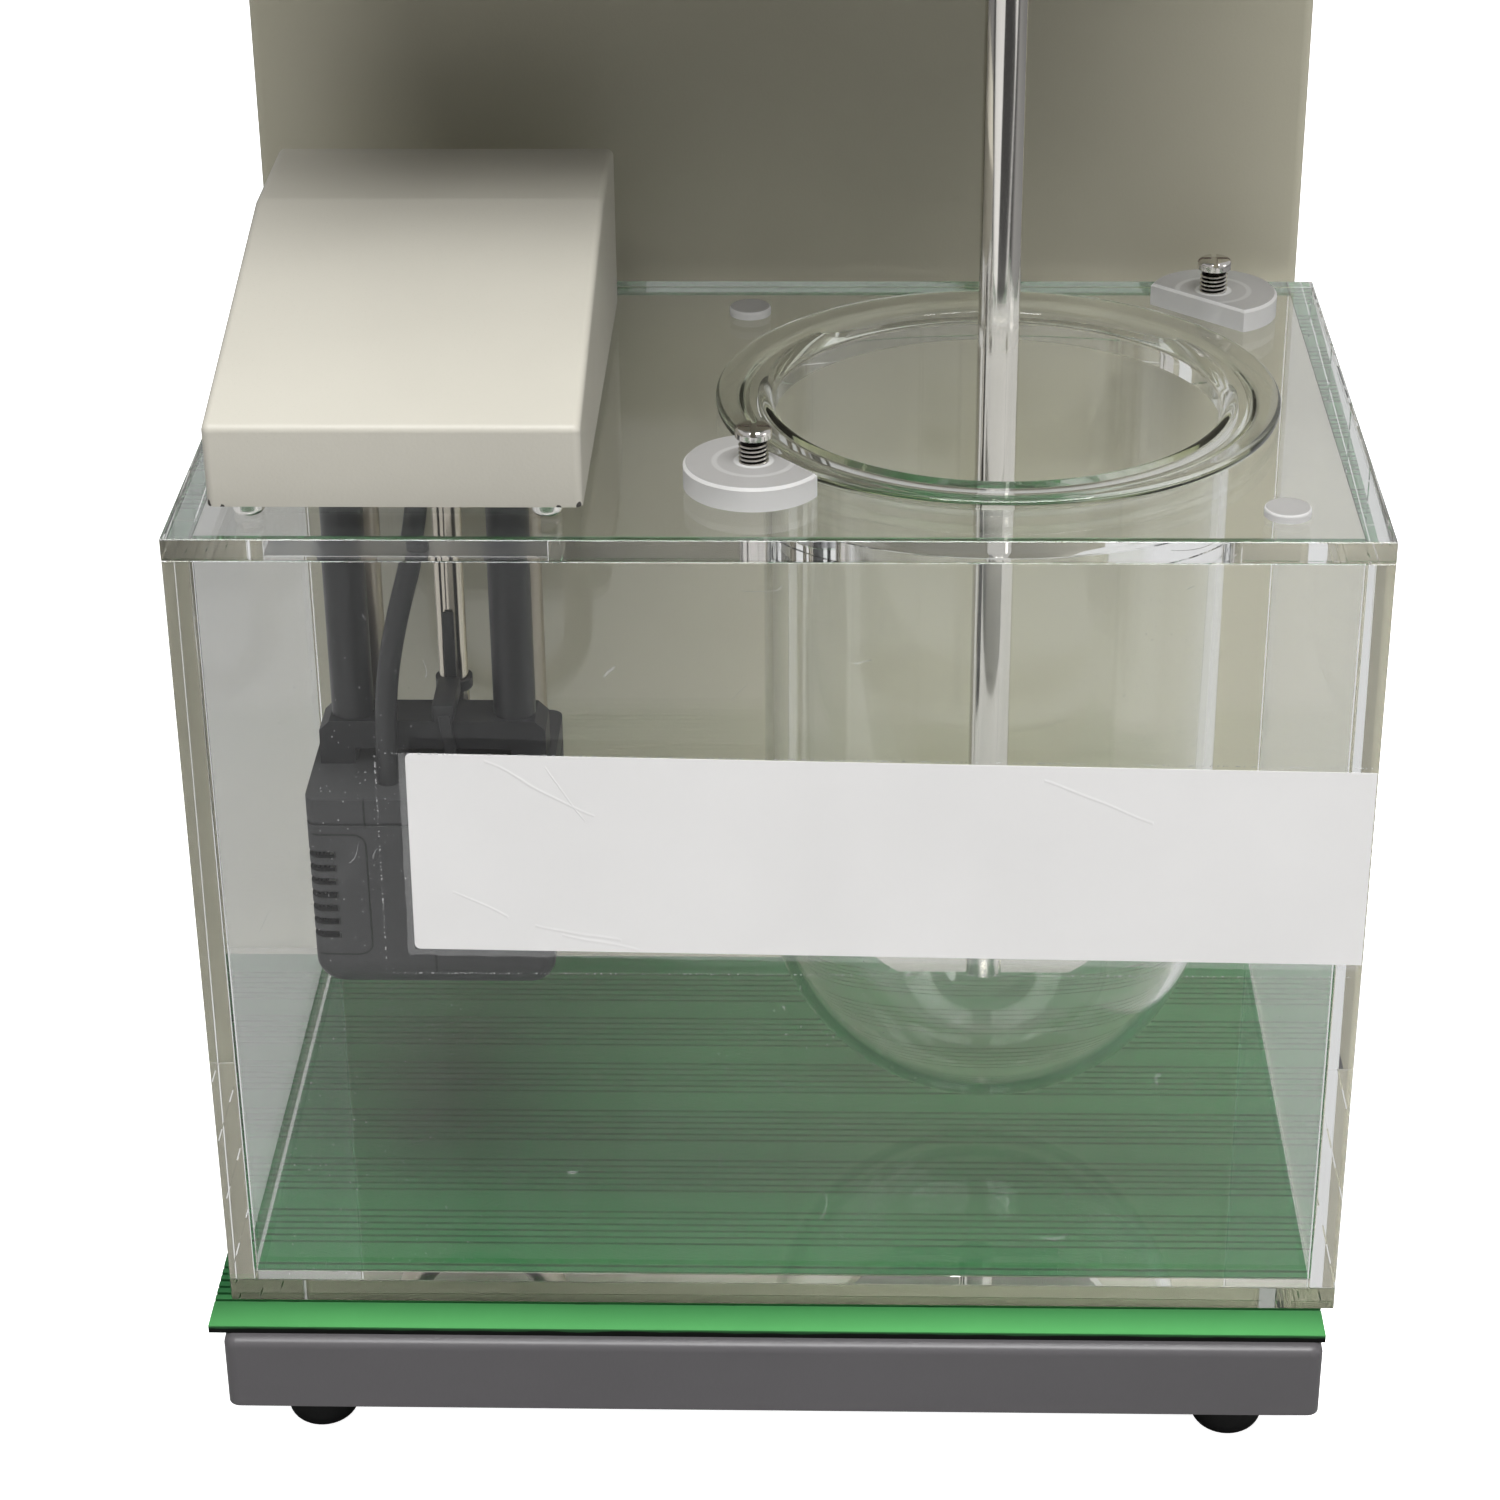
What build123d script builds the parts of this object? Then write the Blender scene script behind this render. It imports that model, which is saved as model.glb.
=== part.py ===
from build123d import *
import math
import os

os.makedirs("parts", exist_ok=True)

# Tablet dissolution tester, in millimetres, +Z up.
# One glass vessel hangs in a clear water bath, and a paddle turns in it.
# The origin is on the bench under the middle of the machine, and -Y is the front.

# Case width, fits and cuts shared by many pieces
case_width = 257.0
cut_overrun = 1.0
running_gap = 0.05
loose_gap = 0.3
case_sheet = 1.5
inner_bend_radius = 0.8

# Base pan, its bottom plate and feet
base_depth = 267.0
base_height = 19.0
base_corner_radius = 3.0
foot_diameter = 17.0
foot_height = 16.5
foot_edge_radius = 4.2
foot_inset = 19.5
foot_bore_diameter = 7.4
foot_bore_depth = 10.0
foot_screw_diameter = 3.5
foot_screw_length = 11.0
foot_screw_head_diameter = 6.6
foot_screw_head_height = 2.8

# Ribbed mat between base and bath
mat_thickness = 2.0
mat_width = 261.0
mat_left_overhang = 4.0
mat_front_overhang = 10.2
mat_back_gap = 1.0
mat_front_strip = 9.5
groove_width = 0.9
groove_depth = 0.6
groove_pitch = 2.6
groove_group_count = 6
groove_group_pitch = 22.0

# Column and its back cover, as wide as the base
column_depth = 91.5
column_back_inset = 2.0
column_back_lip = 12.0
back_cover_margin = 3.0
back_cover_sheet = 1.2
vent_count = 9
vent_length = 70.0
vent_width = 3.0
vent_pitch = 8.0

# Water bath: clear acrylic panes under a lid plate
bath_width = 260.0
bath_depth = 156.0
bath_height = 197.5
bath_wall = 6.0
bath_floor = 6.0
lid_thickness = 5.0
bath_side_offset = 2.0
bath_column_gap = 4.3
vessel_from_right = 81.0
vessel_from_front = 75.3
lid_vessel_gap = 1.0

# Glass vessel
vessel_outer_diameter = 107.0
vessel_wall = 2.6
vessel_height = 180.0
flange_diameter = 128.2
flange_thickness = 4.2
flange_rim_thickness = 2.5
flange_seat_width = 5.0
flange_edge_radius = 1.0
throat_radius = 2.6
flange_root_radius = 0.8

# Clamp discs, their screws and the locating buttons
clamp_diameter = 30.8
clamp_thickness = 5.5
clamp_flat_distance = 6.3
clamp_bore_gap = 0.3
clamp_edge_radius = 0.7
clamp_screw_diameter = 6.0
clamp_screw_head_diameter = 8.1
clamp_screw_head_height = 2.4
clamp_screw_free_thread = 5.7
clamp_slot_width = 1.2
clamp_slot_depth = 1.1
clamp_front_offset = (-54.3, -45.3)
clamp_rear_offset = (54.3, 59.9)
button_pad_diameter = 10.1
button_pad_height = 2.0
button_pad_edge_radius = 0.7
button_pad_rear_offset = (-57.8, 58.4)
button_pad_front_offset = (59.5, -61.2)

# Drive head
head_bottom_z = 425.0
head_height = 110.0
head_front_overhang = 148.0
head_panel_rise = 95.0
head_panel_setback = 20.0
head_floor_sheet = 3.0
head_back_inset = 2.0

# Spindle, bushes and housing
spindle_diameter = 20.0
spindle_top_above_housing = 31.0
housing_diameter = 34.0
housing_height = 52.0
housing_below_floor = 3.0
housing_flange_diameter = 48.0
housing_flange_thickness = 5.0
bush_wall = 4.0
bush_length = 14.0
bush_flange_diameter = 31.0
bush_flange_thickness = 2.0
shaft_diameter = 9.4
shaft_slide_gap = 0.08
shaft_end_chamfer = 0.5

# Gear pair between motor and spindle
gear_module = 1.0
gear_pressure_angle = 20.0
spindle_gear_teeth = 60
pinion_teeth = 24
gear_width = 8.0
pinion_width = 10.0
gear_backlash = 0.16
gear_hub_diameter = 30.0
gear_hub_height = 6.0
gear_web_thickness = 4.0
gear_rim_thickness = 4.0
gear_light_hole_diameter = 5.0
gear_light_hole_count = 5
collar_diameter = 30.0
collar_height = 8.0
collar_screw_diameter = 4.0
collar_chamfer = 0.6

# Chuck and nut
chuck_diameter = 26.0
chuck_height = 15.6
nose_diameter = 18.0
nose_length = 18.0
collet_slot_width = 1.0
collet_slot_count = 3
nut_root_diameter = 27.0
nut_ridge_height = 0.8
nut_ridge_count = 30
nut_height = 20.0
nut_floor = 2.5
nut_floor_gap = 1.2

# Paddle: a blade of the pharmacopoeia size on a long shaft
blade_top_width = 74.5
blade_bottom_width = 42.0
blade_height = 19.0
blade_thickness = 4.0
blade_side_radius = 41.5
blade_above_glass = 25.0
shaft_top_below_head_top = 5.0

# Motor and gearbox
motor_diameter = 32.0
motor_height = 34.0
motor_edge_radius = 2.0
gearbox_diameter = 31.0
gearbox_height = 12.0
motor_shaft_diameter = 6.0
motor_shaft_gap = 0.05
motor_shaft_seat = 6.0
pinion_hub_diameter = 14.0
pinion_hub_height = 3.0

# Bush in the top of the head
top_bush_diameter = 22.0
top_bush_height = 4.0
top_bush_body_diameter = 16.0
top_bush_gap = 0.6

# Control panel on the sloped front
panel_side_margin = 21.5
panel_height = 74.0
panel_thickness = 1.0
panel_corner_radius = 4.0
panel_opening_gap = 0.3
window_height = 30.0
window_thickness = 1.5
window_rebate = 4.0
window_from_panel_left = 15.0
window_board_gap = 0.3
display_block_margin = 3.0
board_height = 60.0
board_thickness = 1.6
board_side_margin = 8.0
board_depth = 13.0
board_post_diameter = 6.0
board_post_inset = 5.0
tact_switch_size = 6.0
push_button_diameter = 10.0
push_button_height = 3.0
push_button_gap = 0.3
push_button_flange = 1.4
push_button_flange_thickness = 1.6
push_button_stem_diameter = 3.0
push_button_travel = 1.0
push_button_pitch = 16.0
button_from_window = 16.0
button_from_rocker = 32.0
rocker_length = 16.0
rocker_width = 10.0
rocker_gap = 0.3
rocker_depth = 7.0
rocker_pivot_depth = 1.2
rocker_valley = 2.6
rocker_angle = 8.0
rocker_frame_lip = 2.6
rocker_frame_thickness = 1.4
rocker_frame_depth = 12.0
rocker_frame_wall = 1.2
rocker_from_panel_right = 13.0
rocker_pitch = 22.0

# Heater and pump module
cover_width = 80.0
cover_depth = 125.0
cover_front_height = 18.3
cover_rear_height = 38.3
cover_slope_depth = 87.5
cover_sheet = 1.2
cover_bend_radius = 0.5
cover_from_bath_left = 9.0
cover_from_bath_front = 8.7
module_plate_thickness = 1.5
module_foot_diameter = 6.8
module_foot_height = 3.7
module_foot_edge_radius = 1.4
module_foot_shank_diameter = 3.0
module_foot_shank_length = 5.0
module_foot_inset_side = 8.0
module_foot_inset_end = 5.8
lid_opening_gap = 3.0
grommet_diameter = 12.0
grommet_bore = 6.0
grommet_lip = 1.5
grommet_height_share = 0.45

# Pump on its two hanger tubes
tube_diameter = 9.7
tube_spacing = 37.3
tube_from_cover_front = 38.6
pump_width = 55.5
pump_depth = 45.0
pump_height = 51.5
pump_bottom_above_lid = -126.0
pump_from_cover_left = 13.4
pump_from_cover_front = 15.6
pump_corner_radius = 3.0
pump_low_corner_radius = 9.0
pump_seam_depth = 0.5
pump_seam_width = 0.8
pump_seam_below_top = 6.0
pump_foot_diameter = 5.0
pump_foot_height = 1.8
hanger_width = 52.0
hanger_depth = 11.0
hanger_bar_height = 7.0
hanger_leg_height = 4.0
hanger_leg_width = 8.0
hanger_shoulder = 2.4
intake_width = 13.5
intake_height = 31.5
intake_below_top = 9.0
intake_wall = 1.6
intake_slot_count = 7
intake_slot_width = 1.5
intake_slot_pitch = 3.5
intake_slot_reach = 6.0
impeller_diameter = 22.0
impeller_vane_thickness = 1.4
impeller_vane_count = 6
impeller_width = 6.0
impeller_disc_thickness = 1.4
impeller_hub_diameter = 7.0
impeller_axle_diameter = 3.0
outlet_diameter = 9.0
outlet_bore = 6.0
outlet_length = 8.0
outlet_above_bottom = 16.0

# Pump lead, a free stretch between the module plate and the pump
lead_diameter = 5.0
lead_route = [
    (-76.8, -87.0, 238.7),
    (-76.8, -87.0, 224.0),
    (-84.6, -87.3, 197.0),
    (-87.4, -87.0, 177.0),
    (-87.4, -87.0, 160.5),
]

# Heater tube and temperature probe
heater_diameter = 8.0
heater_spacing = 38.0
heater_behind_tubes = 33.0
heater_bottom_above_lid = -150.0
probe_diameter = 6.8
probe_from_tube_middle = 3.5
probe_behind_tubes = 12.5
probe_above_pump = 3.5
tie_width = 5.0
tie_thickness = 1.4
tie_head_size = 5.6
tie_tail_length = 9.0

# Electrics in the column
socket_diameter = 19.0
socket_body_diameter = 16.0
socket_length = 24.0
socket_lip = 2.0
socket_above_lid = 14.0
socket_pin_diameter = 2.0
socket_pin_setback = 5.0
socket_wall = 2.0
socket_pin_circle = 6.5
socket_pin_count = 3
inlet_width = 50.0
inlet_height = 36.0
inlet_flange = 1.8
inlet_body_width = 27.0
inlet_body_depth = 24.0
inlet_wall = 1.6
inlet_well_height = 16.5
fuse_drawer_height = 10.0
fuse_drawer_gap = 0.4
fuse_drawer_proud = 0.2
inlet_pin_width = 4.0
inlet_pin_thickness = 1.5
inlet_pin_length = 12.0
inlet_pin_pitch = 7.0
inlet_above_base = 34.0
inlet_from_side = 52.0
transformer_core = (58.0, 26.0, 50.0)
transformer_coil = (34.0, 50.0, 32.0)
transformer_from_right = 118.0
relay_board_width = 90.0
relay_board_height = 110.0
relay_board_above_base = 90.0
relay_post_length = 8.0
relay_size = (19.0, 16.0, 15.5)
relay_count = 3
case_screw_diameter = 3.0
case_screw_length = 7.0
case_screw_head_diameter = 5.6
case_screw_head_height = 1.7
case_screw_inset = 6.0

# Levels
base_bottom_z = foot_height
base_top_z = base_bottom_z + base_height
bath_bottom_z = base_top_z + mat_thickness
lid_top_z = bath_bottom_z + bath_height
lid_bottom_z = lid_top_z - lid_thickness
floor_top_z = bath_bottom_z + bath_floor
flange_top_z = lid_top_z + flange_thickness
vessel_bottom_z = flange_top_z - vessel_height
head_top_z = head_bottom_z + head_height
head_floor_top_z = head_bottom_z + head_floor_sheet

# Places seen from above
base_front_y = -base_depth / 2
base_back_y = base_depth / 2
column_back_y = base_back_y - column_back_inset
column_front_y = column_back_y - column_depth
bath_left_x = bath_side_offset - bath_width / 2
bath_right_x = bath_left_x + bath_width
bath_back_y = column_front_y - bath_column_gap
bath_front_y = bath_back_y - bath_depth
mat_left_x = bath_left_x - mat_left_overhang
mat_front_y = bath_front_y - mat_front_overhang
vessel_x = bath_right_x - vessel_from_right
vessel_y = bath_front_y + vessel_from_front
head_front_y = column_front_y - head_front_overhang
head_back_y = base_back_y - head_back_inset
cover_left_x = bath_left_x + cover_from_bath_left
cover_right_x = cover_left_x + cover_width
cover_front_y = bath_front_y + cover_from_bath_front
cover_back_y = cover_front_y + cover_depth
cover_bottom_z = lid_top_z + module_foot_height
pump_left_x = cover_left_x + pump_from_cover_left
pump_front_y = cover_front_y + pump_from_cover_front
pump_middle_x = pump_left_x + pump_width / 2
pump_bottom_z = lid_top_z + pump_bottom_above_lid
pump_top_z = pump_bottom_z + pump_height
tube_y = cover_front_y + tube_from_cover_front
heater_y = tube_y + heater_behind_tubes
housing_bottom_z = head_bottom_z - housing_below_floor
housing_top_z = housing_bottom_z + housing_height
gear_bottom_z = housing_top_z + bush_flange_thickness + loose_gap
gear_distance = gear_module * (spindle_gear_teeth + pinion_teeth) / 2
motor_x = vessel_x - gear_distance
motor_y = vessel_y
gearbox_top_z = head_floor_top_z + motor_height + gearbox_height
socket_x = cover_left_x + cover_width / 2
inlet_x = case_width / 2 - inlet_from_side
inlet_z = base_top_z + inlet_above_base

panel_width = case_width - 2 * panel_side_margin
heat_rocker_across = panel_width / 2 - rocker_from_panel_right - rocker_pitch
last_button_across = heat_rocker_across - button_from_rocker
first_button_across = last_button_across - 2 * push_button_pitch
window_right = first_button_across - button_from_window
window_width = window_right + panel_width / 2 - window_from_panel_left
window_across = window_right - window_width / 2
board_left = window_across - window_width / 2 - board_side_margin
board_right = last_button_across + push_button_diameter / 2 + board_side_margin
board_width = board_right - board_left
board_across = (board_left + board_right) / 2

bottom_align = (Align.CENTER, Align.CENTER, Align.MIN)
along_x = Rotation(0, 90, 0)
along_y = Rotation(-90, 0, 0)


def save(name, *solids):
    """Write one piece, or a group of like pieces, under its own name."""
    found = []
    for shape in solids:
        found += list(shape.solids())
    export_step(found[0] if len(found) == 1 else Compound(children=found), f"parts/{name}.step")


def block(low, high):
    """A box from its lowest corner to its highest."""
    size = [b - a for a, b in zip(low, high)]
    return Pos(*low) * Box(*size, align=(Align.MIN, Align.MIN, Align.MIN))


def rod(x, y, z_low, z_high, diameter):
    """An upright cylinder."""
    return Pos(x, y, z_low) * Cylinder(diameter / 2, z_high - z_low, align=bottom_align)


def ring(x, y, z_low, z_high, outer, inner):
    """An upright tube, cut right through."""
    return rod(x, y, z_low, z_high, outer) - rod(
        x, y, z_low - cut_overrun, z_high + cut_overrun, inner)


def upright_edges(shape):
    return shape.edges().filter_by(Axis.Z)


def round_plate(x_low, x_high, y_low, y_high, z_low, z_high, radius):
    """A flat plate whose upright corners are rounded."""
    plate = block((x_low, y_low, z_low), (x_high, y_high, z_high))
    return fillet(upright_edges(plate), radius)


def side_profile(points, x_low, x_high):
    """A closed outline in Y and Z, stretched from one X to another."""
    outline = Plane.YZ * make_face(Polyline(*points, close=True))
    return Pos(x_low, 0, 0) * extrude(outline, x_high - x_low)


def front_profile(points, y_low, y_high):
    """A closed outline in X and Z, stretched from one Y to another."""
    outline = Plane.XZ * make_face(Polyline(*points, close=True))
    return Pos(0, y_low, 0) * extrude(outline, -(y_high - y_low))


def pan_screw(diameter, length, head_diameter, head_height):
    """A pan head screw with its head from 0 up and its shank below."""
    head = Cylinder(head_diameter / 2, head_height, align=bottom_align)
    head = fillet(head.edges().group_by(Axis.Z)[-1], head_height / 2)
    return head + rod(0, 0, -length, 0, diameter)


# Stand

def base_screw_places():
    x = case_width / 2 - foot_inset
    y = base_depth / 2 - foot_inset
    return [(sx * x, sy * y) for sx in (-1, 1) for sy in (-1, 1)]


def base_pan():
    """A folded pan, open below, with a bend along each top edge."""
    outer_radius = case_sheet + inner_bend_radius
    pan = block((-case_width / 2, base_front_y, base_bottom_z),
                (case_width / 2, base_back_y, base_top_z))
    pan = fillet(upright_edges(pan), base_corner_radius)
    pan = fillet(pan.edges().group_by(Axis.Z)[-1], outer_radius)
    hollow = block(
        (-case_width / 2 + case_sheet, base_front_y + case_sheet, base_bottom_z - cut_overrun),
        (case_width / 2 - case_sheet, base_back_y - case_sheet, base_top_z - case_sheet))
    return pan - fillet(upright_edges(hollow), max(base_corner_radius - case_sheet, inner_bend_radius))


def base_bottom_plate():
    inset = case_sheet + loose_gap
    plate = block((-case_width / 2 + inset, base_front_y + inset, base_bottom_z),
                  (case_width / 2 - inset, base_back_y - inset, base_bottom_z + case_sheet))
    plate = fillet(upright_edges(plate), max(base_corner_radius - case_sheet, inner_bend_radius))
    for x, y in base_screw_places():
        plate -= rod(x, y, base_bottom_z - cut_overrun, base_bottom_z + case_sheet + cut_overrun,
                     foot_screw_diameter)
    return plate


def rubber_foot(x, y):
    """A domed foot, bored from below for its screw head."""
    foot = Cylinder(foot_diameter / 2, foot_height, align=bottom_align)
    foot = fillet(foot.edges().group_by(Axis.Z)[0], foot_edge_radius)
    foot -= rod(0, 0, -cut_overrun, foot_bore_depth, foot_bore_diameter)
    foot -= rod(0, 0, 0, foot_height + cut_overrun, foot_screw_diameter)
    return Pos(x, y, 0) * foot


def foot_screw(x, y):
    screw = pan_screw(foot_screw_diameter, foot_screw_length, foot_screw_head_diameter,
                      foot_screw_head_height)
    return Pos(x, y, foot_bore_depth) * Rotation(180, 0, 0) * screw


def ribbed_mat():
    """A rubber mat with groups of fine grooves across it, behind a smooth front strip."""
    back_y = column_front_y - mat_back_gap
    mat = block((mat_left_x, mat_front_y, base_top_z),
                (mat_left_x + mat_width, back_y, bath_bottom_z))
    first = mat_front_y + mat_front_strip
    groups = int((back_y - first) / groove_group_pitch)
    for group in range(groups):
        for line in range(groove_group_count):
            y = first + group * groove_group_pitch + line * groove_pitch
            mat -= block((mat_left_x - cut_overrun, y, bath_bottom_z - groove_depth),
                         (mat_left_x + mat_width + cut_overrun, y + groove_width,
                          bath_bottom_z + cut_overrun))
    return mat


def column_shell():
    """A folded front with two sides and lips that carry the back cover."""
    half = case_width / 2
    outer_radius = case_sheet + inner_bend_radius
    lip_y = column_back_y - back_cover_sheet
    shell = block((-half, column_front_y, base_top_z), (half, lip_y, head_bottom_z))
    front_edges = upright_edges(shell).group_by(Axis.Y)[0]
    shell = fillet(front_edges, outer_radius)
    hollow = block((-half + case_sheet, column_front_y + case_sheet, base_top_z - cut_overrun),
                   (half - case_sheet, lip_y - case_sheet, head_bottom_z + cut_overrun))
    hollow = fillet(upright_edges(hollow).group_by(Axis.Y)[0], inner_bend_radius)
    shell -= hollow
    mouth = half - case_sheet - column_back_lip
    shell -= block((-mouth, lip_y - case_sheet - cut_overrun, base_top_z - cut_overrun),
                   (mouth, lip_y + cut_overrun, head_bottom_z + cut_overrun))
    shell -= Pos(socket_x, column_front_y - cut_overrun, lid_top_z + socket_above_lid) \
        * along_y * Cylinder(socket_body_diameter / 2, case_sheet + 2 * cut_overrun,
                             align=bottom_align)
    for x, z in back_screw_places():
        shell -= Pos(x, lip_y - case_sheet - cut_overrun, z) * along_y * Cylinder(
            case_screw_diameter / 2, case_sheet + 2 * cut_overrun, align=bottom_align)
    return shell


def back_screw_places():
    x = case_width / 2 - case_sheet - column_back_lip / 2
    low = base_top_z + back_cover_margin + case_screw_inset
    high = head_bottom_z - back_cover_margin - case_screw_inset
    return [(sx * x, z) for sx in (-1, 1) for z in (low, (low + high) / 2, high)]


def column_back_cover():
    """A flat plate with vent slots and an opening for the mains inlet."""
    half = case_width / 2 - back_cover_margin
    y = column_back_y
    low_z = base_top_z + back_cover_margin
    high_z = head_bottom_z - back_cover_margin
    cover = block((-half, y - back_cover_sheet, low_z), (half, y, high_z))
    vent_z = high_z - (high_z - low_z) / 3
    for row in range(vent_count):
        z = vent_z + row * vent_pitch
        slot = SlotOverall(vent_length, vent_width)
        cover -= Pos(0, y - back_cover_sheet - cut_overrun, z) * along_y * extrude(
            slot, back_cover_sheet + 2 * cut_overrun)
    cover -= block((inlet_x - inlet_body_width / 2, y - back_cover_sheet - cut_overrun,
                    inlet_z - inlet_height / 2 + inlet_wall),
                   (inlet_x + inlet_body_width / 2, y + cut_overrun,
                    inlet_z + inlet_height / 2 - inlet_wall))
    for x, z in back_screw_places():
        cover -= Pos(x, y - back_cover_sheet - cut_overrun, z) * along_y * Cylinder(
            case_screw_diameter / 2, back_cover_sheet + 2 * cut_overrun, align=bottom_align)
    return cover


def case_screws():
    """The screws of the back cover, of the head's shell and of the four feet."""
    screw = pan_screw(case_screw_diameter, case_screw_length, case_screw_head_diameter,
                      case_screw_head_height)
    found = [Pos(x, column_back_y, z) * along_y * screw for x, z in back_screw_places()]
    found += [foot_screw(x, y) for x, y in base_screw_places()]
    for side in (-1, 1):
        for y in head_screw_rows():
            found.append(Pos(side * case_width / 2, y, head_screw_z()) * Rotation(0, side * 90, 0)
                         * screw)
    return found


# Water bath

def bath_panes():
    """Five clear panes glued edge to edge: the front and back lie between the sides."""
    inner_left = bath_left_x + bath_wall
    inner_right = bath_right_x - bath_wall
    inner_front = bath_front_y + bath_wall
    inner_back = bath_back_y - bath_wall
    return {
        "bath_floor_pane": block((bath_left_x, bath_front_y, bath_bottom_z),
                                 (bath_right_x, bath_back_y, floor_top_z)),
        "bath_left_pane": block((bath_left_x, bath_front_y, floor_top_z),
                                (inner_left, bath_back_y, lid_bottom_z)),
        "bath_right_pane": block((inner_right, bath_front_y, floor_top_z),
                                 (bath_right_x, bath_back_y, lid_bottom_z)),
        "bath_front_pane": block((inner_left, bath_front_y, floor_top_z),
                                 (inner_right, inner_front, lid_bottom_z)),
        "bath_back_pane": block((inner_left, inner_back, floor_top_z),
                                (inner_right, bath_back_y, lid_bottom_z)),
    }


def clamp_places():
    return {
        "front": (vessel_x + clamp_front_offset[0], vessel_y + clamp_front_offset[1]),
        "rear": (vessel_x + clamp_rear_offset[0], vessel_y + clamp_rear_offset[1]),
    }


def module_opening():
    """Where the lid is cut away for the pump and heater: low x, high x, low y, high y."""
    return (pump_left_x - lid_opening_gap, pump_left_x + pump_width + lid_opening_gap,
            pump_front_y - lid_opening_gap, heater_y + heater_diameter / 2 + lid_opening_gap)


def bath_lid():
    """The lid plate, with a round hole for the vessel and an opening for the module."""
    lid = block((bath_left_x, bath_front_y, lid_bottom_z),
                (bath_right_x, bath_back_y, lid_top_z))
    below = lid_bottom_z - cut_overrun
    above = lid_top_z + cut_overrun
    lid -= rod(vessel_x, vessel_y, below, above, vessel_outer_diameter + 2 * lid_vessel_gap)
    x_low, x_high, y_low, y_high = module_opening()
    lid -= round_plate(x_low, x_high, y_low, y_high, below, above, lid_opening_gap)
    for x, y in clamp_places().values():
        lid -= rod(x, y, below, above, clamp_screw_diameter)
    return lid


def glass_vessel():
    """A round bottomed vessel in one piece with its flange, thinner towards the rim."""
    outer = vessel_outer_diameter / 2
    inner = outer - vessel_wall
    rim = flange_diameter / 2
    seat = outer + flange_seat_width
    centre_z = vessel_bottom_z + outer
    lip_z = flange_top_z - flange_thickness
    rim_z = flange_top_z - flange_rim_thickness
    half = math.sqrt(0.5)
    outline = [
        ThreePointArc((0, vessel_bottom_z), (outer * half, centre_z - outer * half),
                      (outer, centre_z)),
        Line((outer, centre_z), (outer, lip_z)),
        Line((outer, lip_z), (seat, lip_z)),
        Line((seat, lip_z), (rim, rim_z)),
        Line((rim, rim_z), (rim, flange_top_z)),
        Line((rim, flange_top_z), (inner, flange_top_z)),
        Line((inner, flange_top_z), (inner, centre_z)),
        ThreePointArc((inner, centre_z), (inner * half, centre_z - inner * half),
                      (0, vessel_bottom_z + vessel_wall)),
        Line((0, vessel_bottom_z + vessel_wall), (0, vessel_bottom_z)),
    ]
    face = make_face(outline)
    corners = face.vertices()
    face = fillet(corners.filter_by(lambda v: abs(v.X - rim) < loose_gap), flange_edge_radius)
    throat = face.vertices().filter_by(
        lambda v: abs(v.X - inner) < loose_gap and abs(v.Y - flange_top_z) < loose_gap)
    face = fillet(throat, throat_radius)
    root = face.vertices().filter_by(
        lambda v: abs(v.X - outer) < loose_gap and abs(v.Y - lip_z) < loose_gap)
    face = fillet(root, flange_root_radius)
    vessel = revolve(Plane.XZ * face, Axis.Z)
    return Pos(vessel_x, vessel_y, 0) * vessel


def vessel_clamp(place):
    """A thick frosted disc with one flat, which faces the vessel's flange."""
    x, y = place
    disc = Cylinder(clamp_diameter / 2, clamp_thickness, align=bottom_align)
    disc -= Pos(clamp_flat_distance, -clamp_diameter, -cut_overrun) * Box(
        clamp_diameter, 2 * clamp_diameter, clamp_thickness + 2 * cut_overrun,
        align=(Align.MIN, Align.MIN, Align.MIN))
    disc = chamfer(disc.edges().group_by(Axis.Z)[-1], clamp_edge_radius)
    disc -= Cylinder(clamp_screw_diameter / 2 + clamp_bore_gap,
                     2 * clamp_thickness + cut_overrun)
    towards = math.degrees(math.atan2(vessel_y - y, vessel_x - x))
    return Pos(x, y, lid_top_z) * Rotation(0, 0, towards) * disc


def clamp_screw(place):
    """A cross slotted screw that stands proud of its clamp disc."""
    x, y = place
    head_z = lid_top_z + clamp_thickness + clamp_screw_free_thread
    screw = pan_screw(clamp_screw_diameter, head_z - lid_bottom_z, clamp_screw_head_diameter,
                      clamp_screw_head_height)
    slot = Box(clamp_screw_head_diameter, clamp_slot_width, 2 * clamp_slot_depth)
    for turn in (0, 90):
        screw -= Pos(0, 0, clamp_screw_head_height) * Rotation(0, 0, turn) * slot
    return Pos(x, y, head_z) * screw


def locating_button(offset):
    pad = Cylinder(button_pad_diameter / 2, button_pad_height, align=bottom_align)
    pad = fillet(pad.edges().group_by(Axis.Z)[-1], button_pad_edge_radius)
    return Pos(vessel_x + offset[0], vessel_y + offset[1], lid_top_z) * pad


# Drive head

def head_outline(inset, floor_z):
    """The head seen from its side, drawn in by a wall."""
    slope = math.atan2(head_panel_setback, head_panel_rise)
    shift = inset / math.cos(slope)
    panel_foot_z = head_top_z - head_panel_rise
    front = head_front_y + inset
    foot_z = panel_foot_z + (inset - shift) * math.cos(slope) / math.sin(slope)
    top_z = head_top_z - inset
    top_y = head_front_y + shift + head_panel_setback * (top_z - panel_foot_z) / head_panel_rise
    return [(front, floor_z), (front, foot_z), (top_y, top_z),
            (head_back_y - inset, top_z), (head_back_y - inset, floor_z)]


def panel_frame():
    """Where the sloped panel is: its middle, X along it and Z out of it."""
    middle_y = head_front_y + head_panel_setback / 2
    middle_z = head_top_z - head_panel_rise / 2
    slope = math.atan2(head_panel_setback, head_panel_rise)
    return Plane(origin=(0, middle_y, middle_z), x_dir=(1, 0, 0),
                 z_dir=(0, -math.cos(slope), math.sin(slope))).location


panel = panel_frame()


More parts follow.
